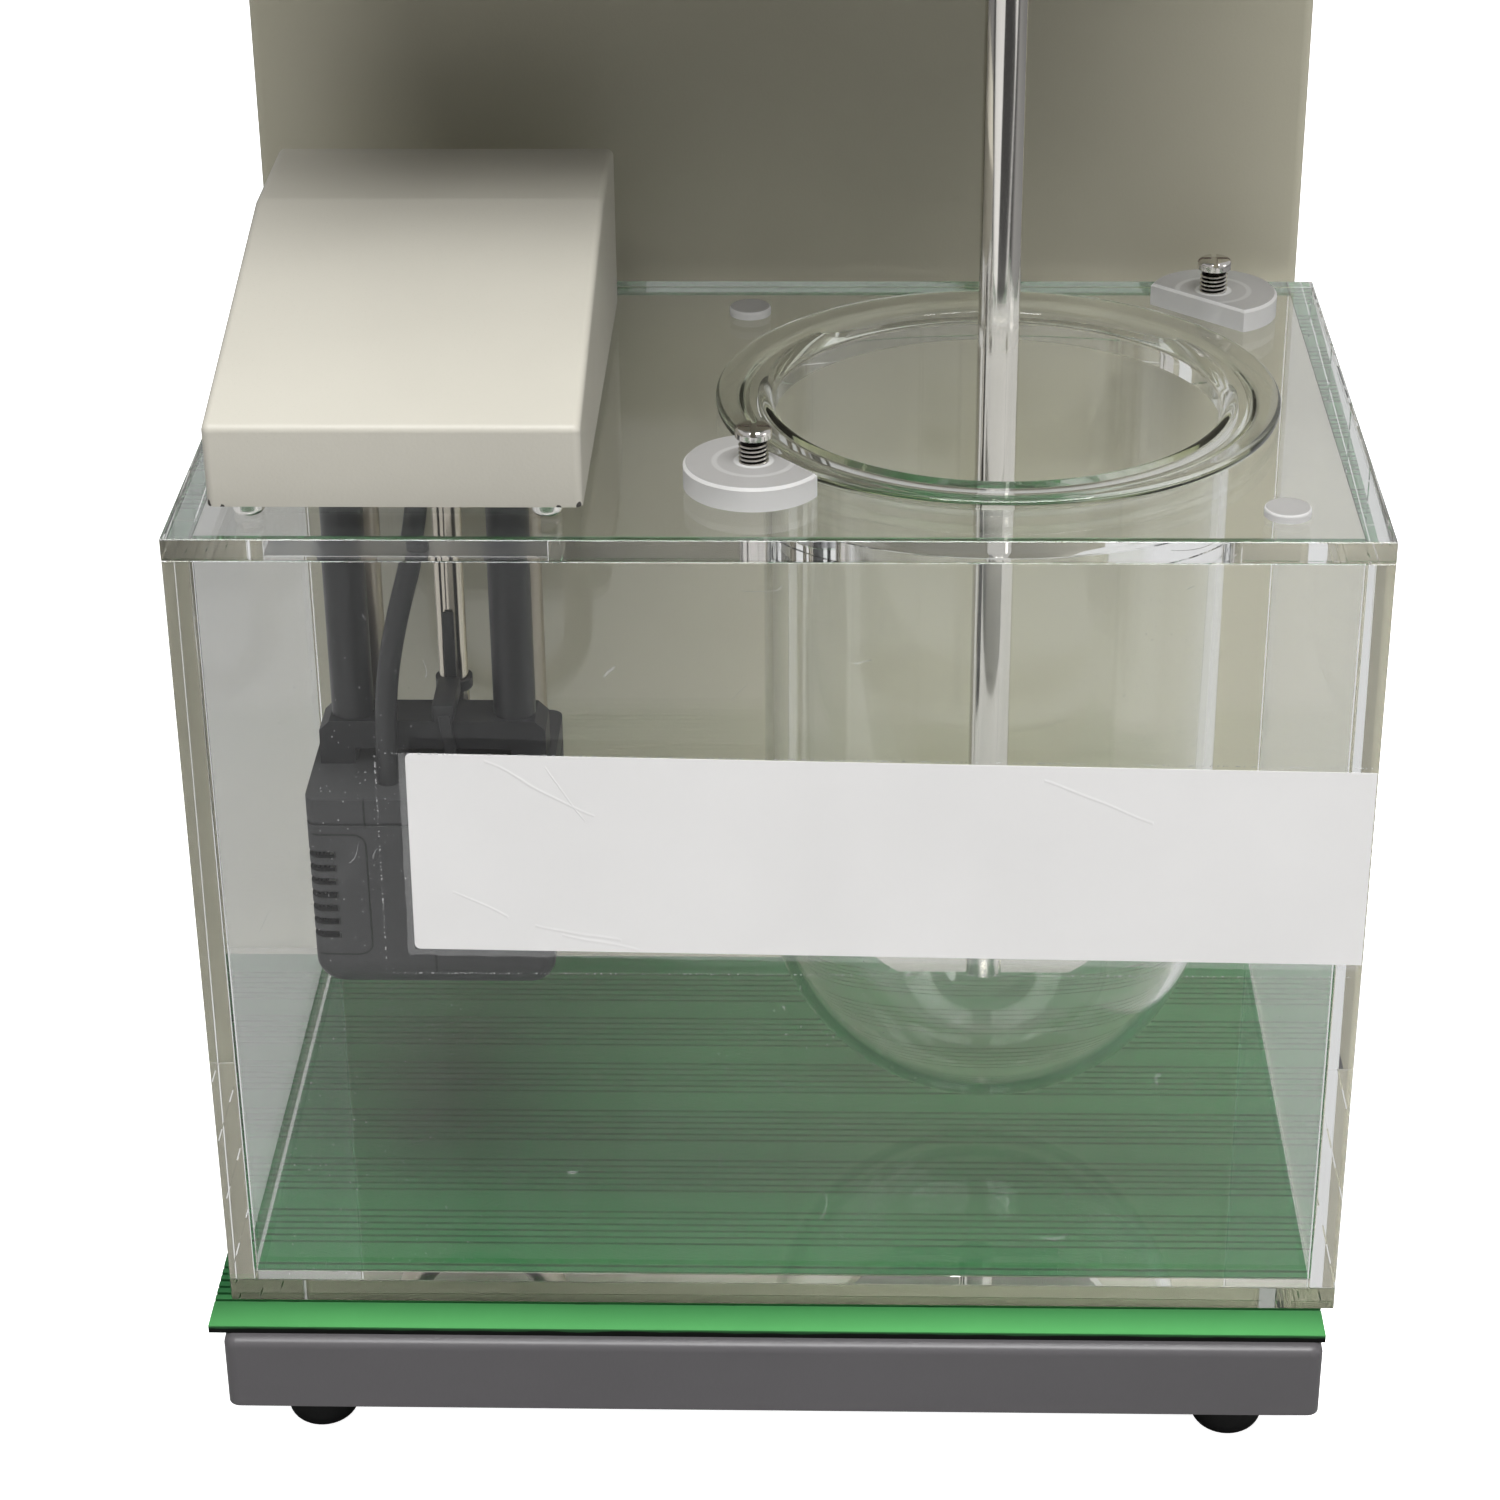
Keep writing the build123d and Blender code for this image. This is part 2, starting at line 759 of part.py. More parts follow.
def panel_block(across, along, w_low, w_high, width, height):
    """A box on the panel, centred at a place on it, from one depth to another."""
    return panel * Pos(across, along, w_low) * Box(width, height, w_high - w_low,
                                                   align=bottom_align)


def panel_rod(across, along, w_low, w_high, diameter):
    return panel * Pos(across, along, w_low) * Cylinder(diameter / 2, w_high - w_low,
                                                        align=bottom_align)


def push_button_places():
    return {name: first_button_across + row * push_button_pitch
            for row, name in enumerate(("set_button", "down_button", "up_button"))}


def rocker_places():
    return {"heat_rocker": heat_rocker_across,
            "power_rocker": heat_rocker_across + rocker_pitch}


def frame_body_size():
    """Width and length of the part of a rocker's frame that goes through the panel."""
    extra = 2 * (rocker_gap + rocker_frame_wall)
    return rocker_width + extra, rocker_length + extra


def cut_panel_openings(plate, w_low, w_high, window_margin):
    """Cut the window, button and rocker openings through a layer of the panel."""
    plate -= panel_block(window_across, 0, w_low, w_high,
                         window_width + window_margin, window_height + window_margin)
    for across in push_button_places().values():
        plate -= panel_rod(across, 0, w_low, w_high, push_button_diameter + 2 * push_button_gap)
    width, length = frame_body_size()
    for across in rocker_places().values():
        plate -= panel_block(across, 0, w_low, w_high, width, length)
    return plate


def head_screw_rows():
    front = head_front_y + head_panel_setback + case_screw_inset
    back = head_back_y - head_panel_setback - case_screw_inset
    return [front, back]


def head_screw_z():
    return head_bottom_z + head_floor_sheet + case_screw_inset


def head_shell():
    """A folded shell, open below, with a sloped front for the panel."""
    half = case_width / 2
    outer_radius = case_sheet + inner_bend_radius
    shell = side_profile(head_outline(0, head_bottom_z), -half, half)
    folds = shell.edges().filter_by(Axis.X).filter_by(
        lambda e: e.center().Z > head_bottom_z + cut_overrun)
    shell = fillet(folds, outer_radius)
    hollow = side_profile(head_outline(case_sheet, head_bottom_z - cut_overrun),
                          -half + case_sheet, half - case_sheet)
    shell -= hollow
    shell = cut_panel_openings(shell, -case_sheet - cut_overrun, cut_overrun,
                               2 * window_rebate)
    shell -= rod(vessel_x, vessel_y, head_top_z - case_sheet - cut_overrun,
                 head_top_z + cut_overrun, top_bush_body_diameter)
    for side in (-1, 1):
        for y in head_screw_rows():
            shell -= Pos(side * half, y, head_screw_z()) * along_x * Cylinder(
                case_screw_diameter / 2, 2 * case_sheet + cut_overrun)
    return shell


def head_floor_plate():
    """The plate that carries housing and motor, with a lip for the shell's screws."""
    half = case_width / 2 - case_sheet - loose_gap
    front = head_front_y + case_sheet + loose_gap
    back = head_back_y - case_sheet - loose_gap
    lip_top = head_floor_top_z + 2 * case_screw_inset
    lip = case_sheet
    plate = block((-half, front, head_bottom_z), (half, back, head_floor_top_z))
    for side in (-1, 1):
        low, high = sorted((side * half, side * (half - lip)))
        plate += block((low, head_screw_rows()[0] - case_screw_inset, head_bottom_z),
                       (high, head_screw_rows()[1] + case_screw_inset, lip_top))
        for y in head_screw_rows():
            plate -= Pos(side * half, y, head_screw_z()) * along_x * Cylinder(
                case_screw_diameter / 2, 2 * lip + cut_overrun)
    plate -= rod(vessel_x, vessel_y, head_bottom_z - cut_overrun,
                 head_floor_top_z + cut_overrun, housing_diameter)
    return plate


def spindle_housing():
    """A turned housing through the head's floor, bored for a bush at each end."""
    housing = rod(vessel_x, vessel_y, housing_bottom_z, housing_top_z, housing_diameter)
    housing += rod(vessel_x, vessel_y, head_floor_top_z,
                   head_floor_top_z + housing_flange_thickness, housing_flange_diameter)
    bush_outer = spindle_diameter + 2 * (running_gap + bush_wall)
    for low in (housing_bottom_z - cut_overrun, housing_top_z - bush_length):
        housing -= rod(vessel_x, vessel_y, low, low + bush_length + cut_overrun, bush_outer)
    return housing - rod(vessel_x, vessel_y, housing_bottom_z - cut_overrun,
                         housing_top_z + cut_overrun, spindle_diameter + bush_wall)


def spindle_bushes():
    """Two flanged bronze bushes, one at each end of the housing."""
    bore = spindle_diameter + 2 * running_gap
    outer = bore + 2 * bush_wall
    found = []
    for face_z, inward in ((housing_bottom_z, 1), (housing_top_z, -1)):
        sleeve = sorted((face_z, face_z + inward * bush_length))
        flange = sorted((face_z, face_z - inward * bush_flange_thickness))
        bush = rod(vessel_x, vessel_y, *sleeve, outer)
        bush += rod(vessel_x, vessel_y, *flange, bush_flange_diameter)
        found.append(bush - rod(vessel_x, vessel_y, sleeve[0] - bush_length,
                                sleeve[1] + bush_length, bore))
    return found


def gear_outline(teeth):
    """A spur gear's outline with involute flanks, centred on a tooth at angle 0."""
    pitch = gear_module * teeth / 2
    base = pitch * math.cos(math.radians(gear_pressure_angle))
    tip = pitch + gear_module
    root = pitch - gear_module * 5 / 4

    def roll(radius):
        angle = math.acos(base / radius)
        return math.tan(angle) - angle

    half_tooth = math.pi / (2 * teeth) - gear_backlash / (4 * pitch) + roll(pitch)
    start = max(base, root)
    flank = []
    for step in range(3):
        radius = start + (tip - start) * step / 2
        flank.append((radius, half_tooth - roll(radius)))
    points = []
    for tooth in range(teeth):
        middle = 2 * math.pi * tooth / teeth
        row = [(root, -flank[0][1])] + [(r, -a) for r, a in flank]
        row += [(r, a) for r, a in reversed(flank)] + [(root, flank[0][1])]
        if start == root:
            row = row[1:-1]
        points += [(r * math.cos(middle + a), r * math.sin(middle + a)) for r, a in row]
    return make_face(Polyline(*points, close=True))


def spindle_gear():
    """A webbed gear with light holes and a hub, pressed on the spindle."""
    tip = gear_module * (spindle_gear_teeth / 2 + 1)
    root = tip - gear_module * 9 / 4
    gear = extrude(gear_outline(spindle_gear_teeth), gear_width)
    rim_inner = root - gear_rim_thickness
    recess_z = gear_web_thickness
    gear -= ring(0, 0, recess_z, gear_width + cut_overrun, 2 * rim_inner, gear_hub_diameter)
    hole_circle = (rim_inner + gear_hub_diameter / 2) / 2
    for place in PolarLocations(hole_circle, gear_light_hole_count):
        gear -= place * Cylinder(gear_light_hole_diameter / 2, 3 * gear_width)
    gear += rod(0, 0, gear_width, gear_width + gear_hub_height, gear_hub_diameter)
    gear -= Cylinder(spindle_diameter / 2, 2 * (gear_width + gear_hub_height + cut_overrun))
    return Pos(vessel_x, vessel_y, gear_bottom_z) * gear


def motor_pinion():
    """The pinion, turned by half a tooth so that it meshes with the gear."""
    pinion = extrude(gear_outline(pinion_teeth), pinion_width)
    pinion += rod(0, 0, pinion_width, pinion_width + pinion_hub_height, pinion_hub_diameter)
    pinion -= Cylinder(motor_shaft_diameter / 2, 3 * (pinion_width + pinion_hub_height))
    low = gear_bottom_z + (gear_width - pinion_width) / 2
    half_pitch = 180 / pinion_teeth
    return Pos(motor_x, motor_y, low) * Rotation(0, 0, half_pitch) * pinion


def hollow_spindle():
    top = housing_top_z + spindle_top_above_housing
    return ring(vessel_x, vessel_y, chuck_shoulder_z(), top, spindle_diameter,
                shaft_diameter + 2 * shaft_slide_gap)


def spindle_collar():
    """A clamped collar on top of the gear's hub, with its set screw's hole."""
    low = gear_bottom_z + gear_width + gear_hub_height
    collar = ring(vessel_x, vessel_y, low, low + collar_height, collar_diameter,
                  spindle_diameter)
    collar = chamfer(collar.edges().filter_by(GeomType.CIRCLE).group_by(Axis.Z)[-1],
                     collar_chamfer)
    hole = along_x * Cylinder(collar_screw_diameter / 2, collar_diameter, align=bottom_align)
    return collar - Pos(vessel_x, vessel_y, low + collar_height / 2) * hole


def chuck_top_z():
    return housing_bottom_z - bush_flange_thickness - loose_gap


def chuck_shoulder_z():
    return chuck_top_z() - chuck_height


def chuck_body():
    """A collet holder pressed on the spindle, slotted so that its nose can close."""
    shoulder = chuck_shoulder_z()
    nose_z = shoulder - nose_length
    body = rod(vessel_x, vessel_y, shoulder, chuck_top_z(), chuck_diameter)
    body -= rod(vessel_x, vessel_y, shoulder, chuck_top_z() + cut_overrun, spindle_diameter)
    body += rod(vessel_x, vessel_y, nose_z, shoulder, nose_diameter)
    body -= rod(vessel_x, vessel_y, nose_z - cut_overrun, chuck_top_z() + cut_overrun,
                shaft_diameter + 2 * shaft_slide_gap)
    slot_high = shoulder - nose_length / 3
    for turn in range(collet_slot_count):
        slot = block((0, -collet_slot_width / 2, nose_z - cut_overrun),
                     (nose_diameter, collet_slot_width / 2, slot_high))
        angle = 360 * turn / collet_slot_count
        body -= Pos(vessel_x, vessel_y, 0) * Rotation(0, 0, angle) * slot
    return body


def chuck_nut():
    """A ridged nut that closes the collet on the shaft."""
    root = nut_root_diameter / 2
    points = []
    for step in range(2 * nut_ridge_count):
        radius = root + nut_ridge_height * (step % 2)
        angle = math.pi * step / nut_ridge_count
        points.append((radius * math.cos(angle), radius * math.sin(angle)))
    nut = extrude(make_face(Polyline(*points, close=True)), nut_height)
    high_z = nut_low_z() + nut_height
    nut = Pos(vessel_x, vessel_y, nut_low_z()) * nut
    nut -= rod(vessel_x, vessel_y, nut_low_z() + nut_floor, high_z + cut_overrun,
               nose_diameter + 2 * running_gap)
    return nut - rod(vessel_x, vessel_y, nut_low_z() - cut_overrun, high_z,
                     shaft_diameter + 2 * loose_gap)


def nut_low_z():
    return chuck_shoulder_z() - nose_length - nut_floor_gap - nut_floor


def blade_bottom_z():
    return vessel_bottom_z + vessel_wall + blade_above_glass


def paddle_shaft():
    top = head_top_z - shaft_top_below_head_top
    shaft = rod(vessel_x, vessel_y, blade_bottom_z(), top, shaft_diameter)
    return chamfer(shaft.edges().group_by(Axis.Z)[-1], shaft_end_chamfer)


def paddle_blade():
    """The two wings of the blade, with curved ends, welded to the shaft's end."""
    top = blade_top_width / 2
    bottom = blade_bottom_width / 2
    chord = math.hypot(top - bottom, blade_height)
    sag = blade_side_radius - math.sqrt(blade_side_radius ** 2 - (chord / 2) ** 2)
    out_x = blade_height / chord * sag
    out_z = (top - bottom) / chord * sag
    middle = ((top + bottom) / 2 + out_x, blade_height / 2 - out_z)
    outline = [
        Line((-bottom, 0), (bottom, 0)),
        ThreePointArc((bottom, 0), middle, (top, blade_height)),
        Line((top, blade_height), (-top, blade_height)),
        ThreePointArc((-top, blade_height), (-middle[0], middle[1]), (-bottom, 0)),
    ]
    blade = extrude(Plane.XZ * make_face(outline), blade_thickness / 2, both=True)
    blade -= rod(0, 0, -cut_overrun, blade_height + cut_overrun, shaft_diameter)
    return Pos(vessel_x, vessel_y, blade_bottom_z()) * blade


def drive_motor():
    """The motor's can, standing on the head's floor."""
    can = Cylinder(motor_diameter / 2, motor_height, align=bottom_align)
    can = fillet(can.edges().group_by(Axis.Z)[0], motor_edge_radius)
    return Pos(motor_x, motor_y, head_floor_top_z) * can


def motor_gearbox():
    """The reduction gearbox on the motor, bored for its output shaft."""
    low = head_floor_top_z + motor_height
    box = rod(motor_x, motor_y, low, gearbox_top_z, gearbox_diameter)
    return box - rod(motor_x, motor_y, gearbox_top_z - motor_shaft_seat - loose_gap,
                     gearbox_top_z + cut_overrun, motor_shaft_diameter + 2 * motor_shaft_gap)


def motor_output_shaft():
    top = gear_bottom_z + gear_width + pinion_hub_height + loose_gap
    return rod(motor_x, motor_y, gearbox_top_z - motor_shaft_seat, top, motor_shaft_diameter)


def head_top_bush():
    """A plastic bush in the head's top, which the raised shaft slides through."""
    bush = rod(vessel_x, vessel_y, head_top_z, head_top_z + top_bush_height, top_bush_diameter)
    bush = fillet(bush.edges().group_by(Axis.Z)[-1], top_bush_height / 3)
    bush += rod(vessel_x, vessel_y, head_top_z - 2 * case_sheet, head_top_z,
                top_bush_body_diameter)
    return bush - rod(vessel_x, vessel_y, head_top_z - 3 * case_sheet,
                      head_top_z + top_bush_height + cut_overrun,
                      shaft_diameter + 2 * top_bush_gap)


# Control panel

def control_panel():
    """The panel's overlay plate on the slope, with openings for what stands in it."""
    plate = panel_block(0, 0, 0, panel_thickness, panel_width, panel_height)
    corners = plate.edges().filter_by(lambda e: abs(e.length - panel_thickness) < running_gap)
    plate = fillet(corners, panel_corner_radius)
    return cut_panel_openings(plate, -cut_overrun, panel_thickness + cut_overrun, 0)


def display_window():
    """The dark window, held behind the overlay by a rebate all round."""
    margin = 2 * window_rebate - 2 * panel_opening_gap
    return panel_block(window_across, 0, -window_thickness, 0,
                       window_width + margin, window_height + margin)


def control_board():
    """The board behind the panel, with display block, key switches and posts."""
    top_w = -board_depth
    board = panel_block(board_across, 0, top_w - board_thickness, top_w,
                        board_width, board_height)
    board += panel_block(window_across, 0, top_w, -window_thickness - window_board_gap,
                         window_width - 2 * display_block_margin,
                         window_height - 2 * display_block_margin)
    switch_w = push_button_tail_w() - push_button_travel - loose_gap
    for across in push_button_places().values():
        board += panel_block(across, 0, top_w, switch_w, tact_switch_size, tact_switch_size)
    for side in (-1, 1):
        for row in (-1, 1):
            across = board_across + side * (board_width / 2 - board_post_inset)
            along = row * (board_height / 2 - board_post_inset)
            board += panel_rod(across, along, top_w, -case_sheet, board_post_diameter)
    return board


def push_button_tail_w():
    return -case_sheet - loose_gap - push_button_flange_thickness - push_button_height


def push_button(across):
    """A round key with a flange behind the shell and a stem to its switch."""
    flange_top = -case_sheet - loose_gap
    flange_low = flange_top - push_button_flange_thickness
    cap = panel_rod(across, 0, flange_top, panel_thickness + push_button_height,
                    push_button_diameter)
    cap += panel_rod(across, 0, flange_low, flange_top,
                     push_button_diameter + 2 * push_button_flange)
    return cap + panel_rod(across, 0, push_button_tail_w(), flange_low,
                           push_button_stem_diameter)


def rocker_frame(across):
    """A switch frame: a lip on the panel and an open body through it."""
    width, length = frame_body_size()
    frame = panel_block(across, 0, panel_thickness, panel_thickness + rocker_frame_thickness,
                        width + 2 * rocker_frame_lip - 2 * rocker_frame_wall,
                        length + 2 * rocker_frame_lip - 2 * rocker_frame_wall)
    frame += panel_block(across, 0, -rocker_frame_depth, panel_thickness, width, length)
    frame -= panel_block(across, 0, -rocker_frame_depth + rocker_frame_wall,
                         panel_thickness + rocker_frame_thickness + cut_overrun,
                         rocker_width + 2 * rocker_gap, rocker_length + 2 * rocker_gap)
    pin = panel * Pos(across, 0, -rocker_pivot_depth) * along_x * Cylinder(
        rocker_frame_wall, width)
    return frame + pin


def switch_rocker(across):
    """A rocker that tips about its pin, with two faces that meet in a valley."""
    reach = rocker_length / 2
    body = along_x * Cylinder(reach, rocker_width)
    low = -rocker_depth + rocker_pivot_depth
    rise = reach * math.tan(math.radians(rocker_angle))
    outline = [(0, rocker_valley), (reach, rocker_valley + rise), (reach, low),
               (-reach, low), (-reach, rocker_valley + rise)]
    faces = Plane.YZ * make_face(Polyline(*outline, close=True))
    body &= extrude(faces, rocker_width, both=True)
    body -= along_x * Cylinder(rocker_frame_wall + running_gap, 2 * rocker_width)
    return panel * Pos(across, 0, -rocker_pivot_depth) * Rotation(rocker_angle, 0, 0) * body


# Heater and pump module

def cover_outline(inset, low_z):
    """The module's cover seen from its side, drawn in by a wall."""
    rise = cover_rear_height - cover_front_height
    slope = math.atan2(rise, cover_slope_depth)
    front = cover_front_y + inset
    high = cover_bottom_z + cover_rear_height - inset
    drop = inset / math.cos(slope)
    front_high = cover_bottom_z + cover_front_height - drop + inset * math.tan(slope)
    fold_y = cover_front_y + cover_slope_depth + inset * math.tan(slope / 2)
    back = cover_back_y - inset
    return [(front, low_z), (front, front_high), (fold_y, high), (back, high), (back, low_z)]


def grommet_z():
    return cover_bottom_z + cover_rear_height * grommet_height_share


def module_cover():
    """A folded cover, open below, low at the front and flat at the back."""
    cover = side_profile(cover_outline(0, cover_bottom_z), cover_left_x, cover_right_x)
    bend = cover_sheet + cover_bend_radius
    top_edges = cover.edges().filter_by(
        lambda e: e.center().Z > cover_bottom_z + cover_sheet)
    cover = fillet(top_edges, bend)
    cover -= side_profile(cover_outline(cover_sheet, cover_bottom_z - cut_overrun),
                          cover_left_x + cover_sheet, cover_right_x - cover_sheet)
    return cover - Pos(socket_x, cover_back_y - cover_sheet - cut_overrun, grommet_z()) \
        * along_y * Cylinder(grommet_diameter / 2, cover_sheet + 2 * cut_overrun,
                             align=bottom_align)


def lead_grommet():
    """A rubber grommet in the back of the cover."""
    length = cover_sheet + 2 * grommet_lip
    body = Cylinder(grommet_diameter / 2, length)
    for side in (-1, 1):
        body += Pos(0, 0, side * (length - grommet_lip) / 2) * Cylinder(
            grommet_diameter / 2 + grommet_lip, grommet_lip)
    body -= Cylinder(grommet_bore / 2, 2 * length)
    return Pos(socket_x, cover_back_y - cover_sheet / 2, grommet_z()) * along_y * body


def module_foot_places():
    return [(x, y) for x in (cover_left_x + module_foot_inset_side,
                             cover_right_x - module_foot_inset_side)
            for y in (cover_front_y + module_foot_inset_end,
                      cover_back_y - module_foot_inset_end)]


def module_base_plate():
    """The plate that closes the cover and carries tubes, heater and probe."""
    inset = cover_sheet + loose_gap
    plate = block((cover_left_x + inset, cover_front_y + inset, cover_bottom_z),
                  (cover_right_x - inset, cover_back_y - inset,
                   cover_bottom_z + module_plate_thickness))
    for x, y in module_foot_places():
        plate -= rod(x, y, cover_bottom_z - cut_overrun,
                     cover_bottom_z + module_plate_thickness + cut_overrun,
                     module_foot_shank_diameter)
    return plate


def module_foot_screw(place):
    """A domed screw under the plate: its head is one of the module's four feet."""
    head = Cylinder(module_foot_diameter / 2, module_foot_height, align=bottom_align)
    head = fillet(head.edges().group_by(Axis.Z)[0], module_foot_edge_radius)
    head += rod(0, 0, module_foot_height, module_foot_height + module_foot_shank_length,
                module_foot_shank_diameter)
    return Pos(place[0], place[1], lid_top_z) * head


def tube_places():
    return [pump_middle_x + side * tube_spacing / 2 for side in (-1, 1)]


def hanger_low_z():
    return pump_top_z + hanger_leg_height


def hanger_tubes():
    """Two black tubes that carry the pump under the module's plate."""
    low = hanger_low_z() + hanger_bar_height
    return [rod(x, tube_y, low, cover_bottom_z, tube_diameter) for x in tube_places()]


def pump_hanger():
    """A yoke across the pump's top: a bar on two legs, with sloped shoulders."""
    half = hanger_width / 2
    leg = half - hanger_leg_width
    low = pump_top_z
    under = hanger_low_z()
    top = under + hanger_bar_height
    points = [(-half, low), (-leg, low), (-leg, under), (leg, under), (leg, low), (half, low),
              (half, top - hanger_shoulder), (half - hanger_shoulder, top),
              (-half + hanger_shoulder, top), (-half, top - hanger_shoulder)]
    points = [(pump_middle_x + x, z) for x, z in points]
    return front_profile(points, tube_y - hanger_depth / 2, tube_y + hanger_depth / 2)


def intake_box():
    """The space of the intake cover: lowest corner and highest corner."""
    low = (pump_left_x, pump_front_y, pump_top_z - intake_below_top - intake_height)
    high = (pump_left_x + intake_width, pump_front_y + pump_depth - pump_corner_radius,
            pump_top_z - intake_below_top)
    return low, high


def impeller_centre():
    low, high = intake_box()
    return (low[0] + intake_wall + loose_gap, (low[1] + high[1]) / 2, (low[2] + high[2]) / 2)


def pump_body():
    """The pump's moulded housing, cut away on its left for the intake cover."""
    low = (pump_left_x, pump_front_y, pump_bottom_z)
    high = (pump_left_x + pump_width, pump_front_y + pump_depth, pump_top_z)
    body = block(low, high)
    body = fillet(upright_edges(body), pump_corner_radius)
    right_low = body.edges().filter_by(Axis.Y).filter_by(
        lambda e: e.center().X > pump_middle_x and e.center().Z < pump_bottom_z + running_gap)
    body = fillet(right_low, pump_low_corner_radius)
    seam_high = pump_top_z - pump_seam_below_top
    outer = block((low[0] - cut_overrun, low[1] - cut_overrun, seam_high - pump_seam_width),
                  (high[0] + cut_overrun, high[1] + cut_overrun, seam_high))
    core = block((low[0] + pump_seam_depth, low[1] + pump_seam_depth, pump_bottom_z),
                 (high[0] - pump_seam_depth, high[1] - pump_seam_depth, pump_top_z))
    body -= outer - fillet(upright_edges(core), pump_corner_radius - pump_seam_depth)
    box_low, box_high = intake_box()
    body -= block((box_low[0] - cut_overrun, box_low[1] - cut_overrun, box_low[2]),
                  (box_high[0], box_high[1], box_high[2]))
    x, y, z = impeller_centre()
    body += Pos(x, y, z) * along_x * Cylinder(impeller_axle_diameter / 2, box_high[0] - x,
                                              align=bottom_align)
    outlet = Pos(pump_middle_x, high[1], pump_bottom_z + outlet_above_bottom) * along_y
    body += outlet * Cylinder(outlet_diameter / 2, outlet_length, align=bottom_align)
    body -= outlet * Pos(0, 0, cut_overrun) * Cylinder(outlet_bore / 2, outlet_length,
                                                       align=bottom_align)
    return body + rod(pump_middle_x - pump_low_corner_radius / 4, pump_front_y + pump_depth / 2,
                      pump_bottom_z - pump_foot_height, pump_bottom_z, pump_foot_diameter)


def pump_intake_cover():
    """A slotted cover over the impeller, open towards the pump's body."""
    low, high = intake_box()
    cover = block(low, high)
    front_left = upright_edges(cover).group_by(Axis.Y)[0].sort_by(Axis.X)[0]
    cover = fillet(front_left, pump_corner_radius)
    cover -= block((low[0] + intake_wall, low[1] + intake_wall, low[2] + intake_wall),
                   (high[0] + cut_overrun, high[1] - intake_wall, high[2] - intake_wall))
    span = (intake_slot_count - 1) * intake_slot_pitch
    first = (low[2] + high[2] - span) / 2
    for row in range(intake_slot_count):
        z = first + row * intake_slot_pitch
        cover -= block((low[0] - cut_overrun, low[1] - cut_overrun, z - intake_slot_width / 2),
                       (low[0] + intake_slot_reach, high[1] - 3 * intake_wall,
                        z + intake_slot_width / 2))
    return cover


def pump_impeller():
    """A vaned wheel on a disc, which turns on the pump's short axle."""
    wheel = Pos(0, 0, impeller_width - impeller_disc_thickness) * Cylinder(
        impeller_diameter / 2, impeller_disc_thickness, align=bottom_align)
    wheel += Cylinder(impeller_hub_diameter / 2, impeller_width, align=bottom_align)
    for turn in range(impeller_vane_count):
        vane = Pos(0, -impeller_vane_thickness / 2, 0) * Box(
            impeller_diameter / 2, impeller_vane_thickness, impeller_width,
            align=(Align.MIN, Align.MIN, Align.MIN))
        wheel += Rotation(0, 0, 360 * turn / impeller_vane_count) * vane
    wheel -= Cylinder(impeller_axle_diameter / 2 + running_gap, 3 * impeller_width)
    x, y, z = impeller_centre()
    return Pos(x + loose_gap, y, z) * along_x * wheel


def pump_lead():
    """The lead's free stretch, as straight runs joined by tangent arcs."""
    points = [Vector(*p) for p in lead_route]
    runs = [b - a for a, b in zip(points, points[1:])]
    radii = []
    for before, after in zip(runs, runs[1:]):
        turn = math.radians(before.get_angle(after))
        radii.append(min(before.length, after.length) * 9 / 20 / math.tan(turn / 2))
    print("lead radii", [round(radius, 1) for radius in radii])
    path = FilletPolyline(*points, radius=radii)
    start = Plane(origin=points[0], z_dir=runs[0])
    lead = sweep(start * Circle(lead_diameter / 2), path=path)
    section = math.pi * lead_diameter ** 2 / 4
    print("lead length", round(path.length, 1), "volume share", round(
        lead.volume / (section * path.length), 4))
    return lead


def heater_tube():
    """A U-shaped steel tube, closed by the plate above, with a round bend below."""
    half = heater_spacing / 2
    low_z = lid_top_z + heater_bottom_above_lid + heater_diameter / 2
    bend_z = low_z + half
    legs = [rod(pump_middle_x + side * half, heater_y, bend_z, cover_bottom_z, heater_diameter)
            for side in (-1, 1)]
    bend = Pos(pump_middle_x, heater_y, bend_z) * Rotation(90, 0, 0) * Torus(
        half, heater_diameter / 2)
    bend -= block((pump_middle_x - heater_spacing, heater_y - heater_diameter, bend_z),
                  (pump_middle_x + heater_spacing, heater_y + heater_diameter,
                   bend_z + heater_spacing))
    return legs[0] + bend + legs[1]


def probe_x():
    return pump_middle_x + probe_from_tube_middle


def probe_y():
    return tube_y + probe_behind_tubes


def temperature_probe():
    """A steel tube with a round end, just above the pump."""
    low = pump_top_z + probe_above_pump
    tube = rod(probe_x(), probe_y(), low, cover_bottom_z, probe_diameter)
    return fillet(tube.edges().group_by(Axis.Z)[0], probe_diameter * 0.45)


def probe_tie():
    """A cable tie round the probe, above the pump's yoke, with its head and tail in front."""
    low = hanger_low_z() + hanger_bar_height + loose_gap
    band = ring(probe_x(), probe_y(), low, low + tie_width, probe_diameter + 2 * tie_thickness,
                probe_diameter)
    front = probe_y() - probe_diameter / 2 - tie_thickness
    x = probe_x() - tie_head_size / 4
    head = block((x - tie_head_size / 2, front - tie_head_size, low),
                 (x + tie_head_size / 2, front + tie_thickness / 2, low + tie_head_size))
    head -= rod(probe_x(), probe_y(), low - cut_overrun, low + tie_head_size + cut_overrun,
                probe_diameter)
    reach = tube_y - hanger_depth / 2 - loose_gap - tie_thickness
    arm = block((x - tie_thickness, reach, low), (x + tie_thickness, front, low + tie_thickness))
    tail = block((x - tie_thickness, reach, low - tie_tail_length),
                 (x + tie_thickness, reach + tie_thickness, low + tie_thickness))
    return band + head + arm + tail


# Electrics in the column

